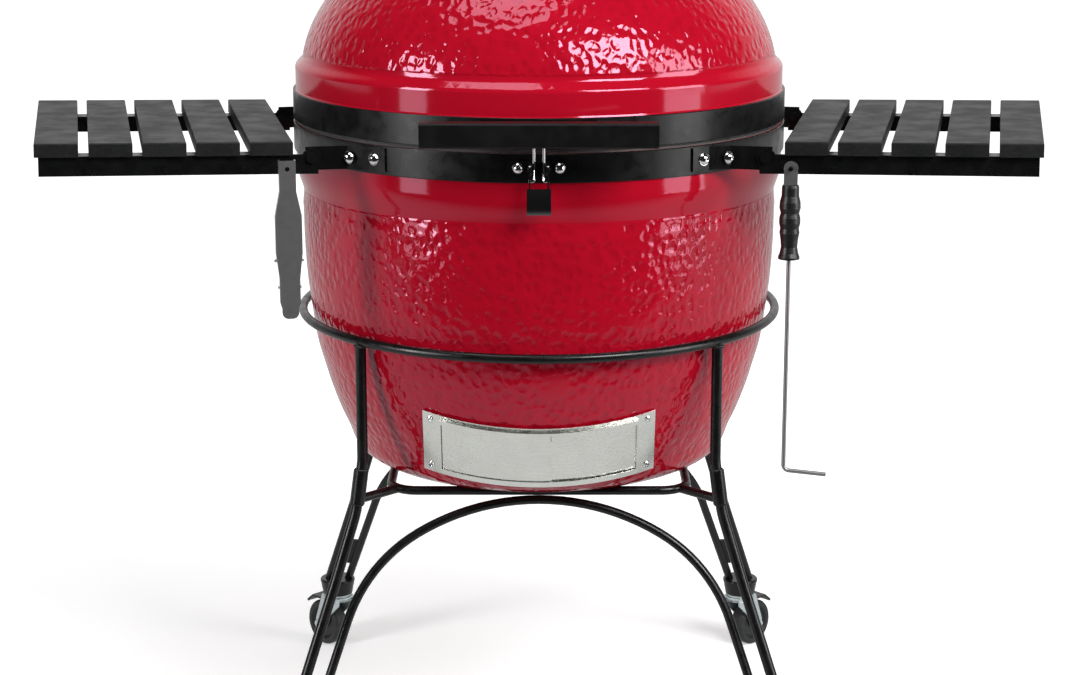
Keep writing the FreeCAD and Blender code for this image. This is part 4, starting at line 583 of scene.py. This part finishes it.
@dataclass(frozen=True)
class ClearGlass(Finish):
    """The thermometer's window."""

    def dress(self, sheet: NodeSheet, shader: bpy.types.Node) -> None:
        """Makes the shader clear, with a faint smear in its roughness."""
        shader.inputs["Transmission Weight"].default_value = 1.0
        shader.inputs["IOR"].default_value = 1.48
        grain = sheet.group(EFFECTS.fine_grain(), Scale=25.0)
        sheet.feed(shader.inputs["Roughness"], sheet.ramp(grain.outputs["Broad"], 0.4, 0.8, 0.0, 0.06))


RED: Colour = (0.40, 0.0035, 0.016)
POT_GLAZE = Glaze("glaze_pot", RED, 0.085, skin_low=0.457, skin_high=0.843, centre_z=0.70)
DOME_GLAZE = Glaze("glaze_dome", RED, 0.085, skin_low=1.0365, skin_high=1.222, centre_z=0.97)
BAND_PAINT = SatinPaint("band_paint", (0.0032, 0.0034, 0.0034), 0.30, sheen=0.34)
HANDLE_PAINT = SatinPaint("handle_paint", (0.0030, 0.0031, 0.0031), 0.42, sheen=0.25)
STAND_PAINT = SatinPaint("stand_paint", (0.0035, 0.0035, 0.0036), 0.28, wear=0.2, sheen=0.40)
SLAT_BOARD = SlatBoard("slat_board", (0.0045, 0.0048, 0.0048), 0.50)
SHEET_STEEL = BrushedSteel("sheet_steel", (0.90, 0.91, 0.86), 0.24, 1.0, along=(0.02, 1.0, 1.0))
CHROME = Plating("chrome_plate", (0.82, 0.82, 0.84), 0.06, 1.0, haze=0.06)
PRESSED_CHROME = Plating("pressed_chrome", (0.84, 0.84, 0.85), 0.30, 1.0, haze=0.05, ripple=0.00003)
LEVER_CHROME = Plating("lever_chrome", (0.30, 0.30, 0.31), 0.12, 1.0, haze=0.05)
ZINC = Plating("zinc_plate", (0.66, 0.73, 0.74), 0.42, 1.0, haze=0.16)
TOOL_STEEL = BrushedSteel("tool_steel", (0.30, 0.30, 0.31), 0.34, 1.0, along=(1.0, 1.0, 0.03))
WHEEL_RUBBER = Rubber("wheel_rubber", (0.010, 0.011, 0.012), 0.48)
PEDAL_PLASTIC = Rubber("pedal_plastic", (0.010, 0.010, 0.011), 0.38, dust=0.06)
GRIP_RUBBER = Rubber("grip_rubber", (0.005, 0.005, 0.005), 0.36, dust=0.05)
FIREBRICK = Casting("firebrick", (0.55, 0.46, 0.36), 0.85, second=(0.30, 0.24, 0.18), grit=0.0003, grit_scale=500.0)
CAST_IRON = Casting("cast_iron", (0.012, 0.012, 0.012), 0.52, 0.25, second=(0.022, 0.022, 0.022), grit=0.00018)
GRATE_STEEL = BrushedSteel("grate_steel", (0.62, 0.62, 0.62), 0.28, 1.0, along=(1.0, 0.05, 1.0))
GASKET_FELT = Felt("gasket_felt", (0.03, 0.03, 0.032), 0.95)
DIAL_FACE = Rubber("dial_face", (0.80, 0.80, 0.77), 0.45, dust=0.02)
DIAL_INK = Rubber("dial_ink", (0.02, 0.02, 0.02), 0.5, dust=0.02)
LENS = ClearGlass("lens_glass", (0.97, 0.98, 0.98), 0.02)
WELD = SatinPaint("weld_paint", (0.004, 0.004, 0.004), 0.34, peel=0.00005, wear=0.1)


# ------------------------------------------------------------------ mesh helpers
def new_piece(name: str, mesh: bpy.types.Mesh, finish: Finish, body: str,
              smooth: bool = True) -> bpy.types.Object:
    """Puts a mesh in the scene as a piece of the grill.

    Args:
        name: the piece's name.
        mesh: its mesh, in the frame's axes.
        finish: what it is made of.
        body: the body it rides on.
        smooth: smooth shading.

    Returns:
        The new object.
    """
    piece = bpy.data.objects.new(name, mesh)
    bpy.context.scene.collection.objects.link(piece)
    mesh.materials.clear()
    mesh.materials.append(finish.material())
    mesh.polygons.foreach_set("use_smooth", [smooth] * len(mesh.polygons))
    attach(piece, body)
    return piece


def dress_node(name: str, finish: Finish) -> None:
    """Gives a CAD node its finish.

    Args:
        name: the node.
        finish: its finish.
    """
    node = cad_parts[name]
    if not node.material_slots:
        node.data.materials.append(finish.material())
    for slot in node.material_slots:
        slot.link = "OBJECT"
        slot.material = finish.material()


def frame_of(direction: Vector) -> Matrix:
    """Rotation that takes +Z to a direction."""
    return direction.to_track_quat("Z", "Y").to_matrix().to_4x4()


@dataclass
class WeldBeads:
    """Rippled weld beads where the stand's rods meet.

    Attributes:
        bead_r: half-thickness of a bead.
        ripples: waves round one bead.
    """

    bead_r: float = 0.0022
    ripples: int = 26
    rod_thick: float = 0.0075
    rod_thin: float = 0.00635

    def bead(self, mesh: bmesh.types.BMesh, centre: Vector, axis: Vector, radius: float) -> None:
        """Adds one bead round a rod.

        Args:
            mesh: where it is added.
            centre: middle of the bead.
            axis: direction of the rod.
            radius: radius of the rod's surface.
        """
        around, across = self.ripples * 4, 8
        turn = Matrix.Translation(centre) @ frame_of(axis)
        rings = []
        for i in range(around):
            a = 2 * math.pi * i / around
            swell = self.bead_r * (1.0 + 0.16 * math.cos(a * self.ripples))
            ring = []
            for j in range(across):
                b = 2 * math.pi * j / across
                r = radius + swell * math.cos(b)
                ring.append(mesh.verts.new(turn @ Vector((r * math.cos(a), r * math.sin(a), swell * math.sin(b)))))
            rings.append(ring)
        for i in range(around):
            for j in range(across):
                mesh.faces.new((rings[i][j], rings[(i + 1) % around][j], rings[(i + 1) % around][(j + 1) % across],
                                rings[i][(j + 1) % across]))

    def build(self) -> bpy.types.Object:
        """Makes the beads at the sleeves and under the ring.

        Returns:
            The piece.
        """
        mesh = bmesh.new()
        low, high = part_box("stand_sleeves")
        ring_low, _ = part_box("stand_ring")
        up_low, up_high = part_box("stand_uprights")
        for sx in (-1, 1):
            for sy in (-1, 1):
                x = sx * (up_high.x - 0.0075)
                y = sy * (up_high.y - 0.0075)
                self.bead(mesh, Vector((sx * 0.2425, sy * 0.2425, ring_low.z - 0.0002)), Vector((0, 0, 1)),
                          self.rod_thick - 0.0006)
                lean = Vector((-sx * 0.13, -sy * 0.13, 1.0)).normalized()
                self.bead(mesh, Vector((sx * 0.2445, sy * 0.2445, 0.4832)), lean, self.rod_thick - 0.0004)
                self.bead(mesh, Vector((sx * 0.2506, sy * 0.2506, 0.4368)), lean, self.rod_thick - 0.0004)
        data = bpy.data.meshes.new("weld_beads")
        mesh.to_mesh(data)
        mesh.free()
        return new_piece("weld_beads", data, WELD, "grill_base")


@dataclass
class DialMarks:
    """Ticks and plain numbers on the thermometer's dial.

    Attributes:
        ticks: number of marks.
        sweep: angle they cover, in degrees.
        reach: radius of their outer ends.
    """

    ticks: int = 29
    sweep: float = 280.0
    reach: float = 0.0315
    numbers: Sequence[int] = (50, 100, 150, 200, 250, 300, 350, 400)

    def face(self) -> tuple[Vector, Vector, Vector, Vector]:
        """Finds the dial's face from the CAD disc: its widest flat side that looks up and forward.

        Returns:
            A point in its middle, its right, its up and its outward directions.
        """
        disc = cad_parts["thermometer_dial"].data
        looks = Vector((0.0, -0.5, 0.85))
        flat = [p for p in disc.polygons if p.normal.dot(looks) > 0.9]
        outward = sum((p.normal * p.area for p in flat), Vector()).normalized()
        level = {}
        for p in flat:
            key = round(p.center.dot(outward), 4)
            level[key] = level.get(key, 0.0) + p.area
        height = max(level, key=level.get)
        low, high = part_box("thermometer_case")
        middle = (low + high) / 2
        dial_low, dial_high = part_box("thermometer_dial")
        middle = (dial_low + dial_high) / 2
        centre = middle + outward * (height - middle.dot(outward) + 0.00015)
        right = Vector((1, 0, 0))
        up = outward.cross(right).normalized()
        return centre, right, -up if up.z < 0 else up, outward

    def build(self) -> list[bpy.types.Object]:
        """Makes the ticks and numbers.

        Returns:
            The pieces.
        """
        centre, right, up, outward = self.face()
        mesh = bmesh.new()
        for i in range(self.ticks):
            a = math.radians(90 + self.sweep / 2 - self.sweep * i / (self.ticks - 1))
            long = 0.0052 if i % 4 == 0 else 0.003
            wide = 0.0006 if i % 4 == 0 else 0.0003
            out = right * math.cos(a) + up * math.sin(a)
            side = outward.cross(out)
            corners = [out * self.reach + side * wide, out * self.reach - side * wide,
                       out * (self.reach - long) - side * wide, out * (self.reach - long) + side * wide]
            bottom = [mesh.verts.new(centre + c) for c in corners]
            top = [mesh.verts.new(centre + c + outward * 0.00015) for c in corners]
            mesh.faces.new(bottom[::-1])
            mesh.faces.new(top)
            for k in range(4):
                mesh.faces.new((bottom[k], bottom[(k + 1) % 4], top[(k + 1) % 4], top[k]))
        data = bpy.data.meshes.new("dial_ticks")
        bmesh.ops.recalc_face_normals(mesh, faces=mesh.faces)
        mesh.to_mesh(data)
        mesh.free()
        made = [new_piece("dial_ticks", data, DIAL_INK, "dome", smooth=False)]
        for i, number in enumerate(self.numbers):
            a = math.radians(90 + self.sweep / 2 - self.sweep * i / (len(self.numbers) - 1))
            text = bpy.data.curves.new("dial_number_%d" % number, "FONT")
            text.body = str(number)
            text.size = 0.0055
            text.align_x = "CENTER"
            text.align_y = "CENTER"
            text.extrude = 0.0001
            piece = bpy.data.objects.new("dial_number_%d" % number, text)
            bpy.context.scene.collection.objects.link(piece)
            turn = Matrix((right, up, outward)).transposed().to_4x4()
            spot = centre + (right * math.cos(a) + up * math.sin(a)) * (self.reach - 0.0095) + outward * 0.0002
            piece.matrix_world = Matrix.Translation(spot) @ turn
            text.materials.append(DIAL_INK.material())
            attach(piece, "dome")
            made.append(piece)
        return made


# ------------------------------------------------------------------ sub-assemblies
@dataclass
class CeramicShells:
    """The glazed pot and dome, and the felt between them."""

    def build(self) -> None:
        """Dresses the shells and the gaskets."""
        dress_node("pot_base", POT_GLAZE)
        dress_node("dome_shell", DOME_GLAZE)
        for name in ("lower_gasket", "dome_gasket"):
            dress_node(name, GASKET_FELT)


@dataclass
class BandsAndHinge:
    """Steel bands, straps, handle, latch and the rear hinge."""

    painted: Sequence[str] = ("lower_band", "upper_band", "shelf_straps", "handle_mounts", "hinge_arms",
                              "hinge_bracket", "latch_plate")
    plated: Sequence[str] = ("fixings", "handle_bolts", "latch_loop")

    def build(self) -> None:
        """Dresses each piece."""
        for name in self.painted:
            dress_node(name, BAND_PAINT)
        for name in self.plated:
            dress_node(name, CHROME)
        dress_node("handle_bar", HANDLE_PAINT)
        dress_node("latch_lever", LEVER_CHROME)
        dress_node("hinge_springs", TOOL_STEEL)


@dataclass
class DraftDoor:
    """The draft frame and its two sliding panels."""

    def build(self) -> None:
        """Dresses the sheet metal."""
        for name in ("draft_frame", "draft_door", "draft_panel"):
            dress_node(name, SHEET_STEEL)


@dataclass
class Stand:
    """Rod stand with cups, welds and casters."""

    rods: Sequence[str] = ("stand_ring", "stand_uprights", "stand_frame", "stand_sleeves", "stand_legs",
                           "stand_arches", "stand_cups")
    corners: Sequence[str] = ("rr", "rl", "fl", "fr")

    def build(self) -> None:
        """Dresses the stand and adds the weld beads."""
        for name in self.rods:
            dress_node(name, STAND_PAINT)
        dress_node("caster_stems", ZINC)
        for corner in self.corners:
            dress_node("caster_fork_" + corner, ZINC)
            dress_node("caster_wheel_" + corner, WHEEL_RUBBER)
            dress_node("caster_brake_" + corner, PEDAL_PLASTIC)
        LOG.info("piece %s", WeldBeads().build().name)


@dataclass
class Shelf:
    """One folding side shelf."""

    side: Side

    def build(self) -> None:
        """Dresses the slats and rails."""
        word = self.side.name.lower()
        dress_node(word + "_slats", SLAT_BOARD)
        dress_node(word + "_rails", BAND_PAINT)


@dataclass
class Tools:
    """The hanging ash tool and grate gripper."""

    def build(self) -> None:
        """Dresses both tools."""
        dress_node("ash_tool_grip", GRIP_RUBBER)
        dress_node("ash_tool_rod", TOOL_STEEL)
        dress_node("gripper_body", PRESSED_CHROME)
        dress_node("gripper_lever", PRESSED_CHROME)


@dataclass
class TopVent:
    """Cast vent and the thermometer in the dome."""

    def build(self) -> None:
        """Dresses the castings and the gauge."""
        for name in ("vent_collar", "vent_cap", "vent_daisy"):
            dress_node(name, CAST_IRON)
        dress_node("thermometer_case", ZINC)
        dress_node("thermometer_dial", DIAL_FACE)
        dress_node("thermometer_lens", LENS)
        for piece in DialMarks().build():
            LOG.info("piece %s", piece.name)


@dataclass
class FireInternals:
    """What stands inside the pot."""

    def build(self) -> None:
        """Dresses the fire clay, the irons and the grates."""
        for name in ("firebox", "fire_ring", "deflectors"):
            dress_node(name, FIREBRICK)
        dress_node("charcoal_grate", CAST_IRON)
        dress_node("grate_rack", GRATE_STEEL)
        dress_node("cooking_grates", GRATE_STEEL)


# ------------------------------------------------------------------ studio
@dataclass
class Studio:
    """Pale floor, soft boxes and the camera."""

    camera_place: Point = (0.0, -3.205, 1.380)
    camera_tilt: float = 13.47
    lens: float = 74.8
    floor_half: float = 40.0
    near_glow: float = 0.40

    def softbox(self, name: str, place: Point, target: Point, width: float, height: float, power: float,
                colour: Colour = (1.0, 1.0, 1.0)) -> None:
        """Adds one rectangular lamp.

        Args:
            name: its name.
            place: where it stands.
            target: where it points.
            width: its width in metres.
            height: its height in metres.
            power: its power in watts.
            colour: its tint.
        """
        lamp = bpy.data.lights.new(name, "AREA")
        lamp.shape = "RECTANGLE"
        lamp.size, lamp.size_y = width, height
        lamp.energy = power
        lamp.color = colour
        holder = bpy.data.objects.new(name, lamp)
        bpy.context.scene.collection.objects.link(holder)
        holder.location = place
        holder.rotation_euler = (Vector(target) - Vector(place)).to_track_quat("-Z", "Y").to_euler()

    def floor(self) -> None:
        """Lays pale paper: white to the lens, and dark in reflections beyond a few steps from the grill."""
        mesh = bpy.data.meshes.new("studio_floor")
        h = self.floor_half
        mesh.from_pydata([(-h, -h, 0), (h, -h, 0), (h, h, 0), (-h, h, 0)], [], [(0, 1, 2, 3)])
        piece = bpy.data.objects.new("studio_floor", mesh)
        bpy.context.scene.collection.objects.link(piece)
        material = bpy.data.materials.new("studio_floor")
        material.use_nodes = True
        material.node_tree.nodes.clear()
        sheet = NodeSheet(material.node_tree)
        place = sheet.add("SeparateXYZ", {0: sheet.add("TexCoord").outputs["Object"]})
        near = sheet.ramp(place.outputs[1], -1.7, -0.7, 0.03, 1.0)
        glow_far = sheet.ramp(place.outputs[1], 0.3, 2.2, self.near_glow, 1.0)
        seen = sheet.add("LightPath").outputs["Is Camera Ray"]
        paper = sheet.add("BsdfDiffuse", {"Color": (0.9, 0.9, 0.9, 1.0)})
        glow = sheet.add("Emission", {"Color": (1.0, 1.0, 1.0, 1.0), "Strength": glow_far})
        lit = sheet.add("AddShader", {0: paper.outputs[0], 1: glow.outputs[0]})
        dark = sheet.add("Emission", {"Color": (1.0, 1.0, 1.0, 1.0), "Strength": sheet.math("MULTIPLY", near, 0.62)})
        pick = sheet.add("MixShader", {0: seen, 1: dark.outputs[0], 2: lit.outputs[0]})
        sheet.add("OutputMaterial", {"Surface": pick.outputs[0]})
        mesh.materials.append(material)

    def world(self) -> None:
        """Bright paper behind the grill, dark room behind the camera."""
        world = bpy.data.worlds.new("studio")
        bpy.context.scene.world = world
        world.use_nodes = True
        world.node_tree.nodes.clear()
        sheet = NodeSheet(world.node_tree)
        split = sheet.add("SeparateXYZ", {0: sheet.add("TexCoord").outputs["Generated"]})
        behind = sheet.ramp(split.outputs[1], 0.25, 0.85, 0.02, 0.85)
        camera_ray = sheet.add("LightPath").outputs["Is Camera Ray"]
        strength = sheet.math("MAXIMUM", behind, camera_ray)
        back = sheet.add("Background", {"Color": (1.0, 1.0, 1.0, 1.0), "Strength": strength})
        sheet.add("OutputWorld", {"Surface": back.outputs[0]})

    def camera(self) -> None:
        """Sets the camera."""
        lens = bpy.data.cameras.new("studio_camera")
        lens.lens = self.lens
        lens.sensor_width = 36.0
        lens.clip_end = 200.0
        lens.shift_x = 0.001
        camera = bpy.data.objects.new("studio_camera", lens)
        bpy.context.scene.collection.objects.link(camera)
        camera.location = self.camera_place
        camera.rotation_euler = (math.radians(90.0 - self.camera_tilt), 0.0, 0.0)
        bpy.context.scene.camera = camera

    def build(self) -> None:
        """Builds floor, world, lamps and camera."""
        self.floor()
        self.world()
        self.softbox("box_left", (-2.65, -1.75, 1.55), (0, 0, 0.95), 0.75, 1.7, 56.0)
        self.softbox("box_left_low", (-2.65, -1.75, 0.42), (0, 0, 0.9), 0.75, 0.5, 3.0)
        self.softbox("box_right", (2.85, -1.2, 1.55), (0, 0, 0.95), 1.2, 1.7, 48.0)
        self.softbox("box_right_low", (2.85, -1.2, 0.42), (0, 0, 0.9), 1.2, 0.5, 6.0)
        self.softbox("box_key", (1.75, -2.3, 2.9), (0.1, -0.2, 1.0), 1.6, 1.2, 105.0)
        self.softbox("box_top", (-0.5, -0.7, 3.8), (0, 0, 0.8), 1.6, 1.6, 30.0)
        self.camera()
        bpy.context.scene.view_settings.view_transform = "Standard"


def main() -> None:
    """Builds every sub-assembly, then the studio."""
    logging.basicConfig(level=logging.INFO)
    parts = [CeramicShells(), BandsAndHinge(), DraftDoor(), Stand(), Shelf(Side.LEFT), Shelf(Side.RIGHT),
             Tools(), TopVent(), FireInternals(), Studio()]
    for part in parts:
        part.build()
        LOG.info("built %s", type(part).__name__)


if __name__ == "__main__":
    main()
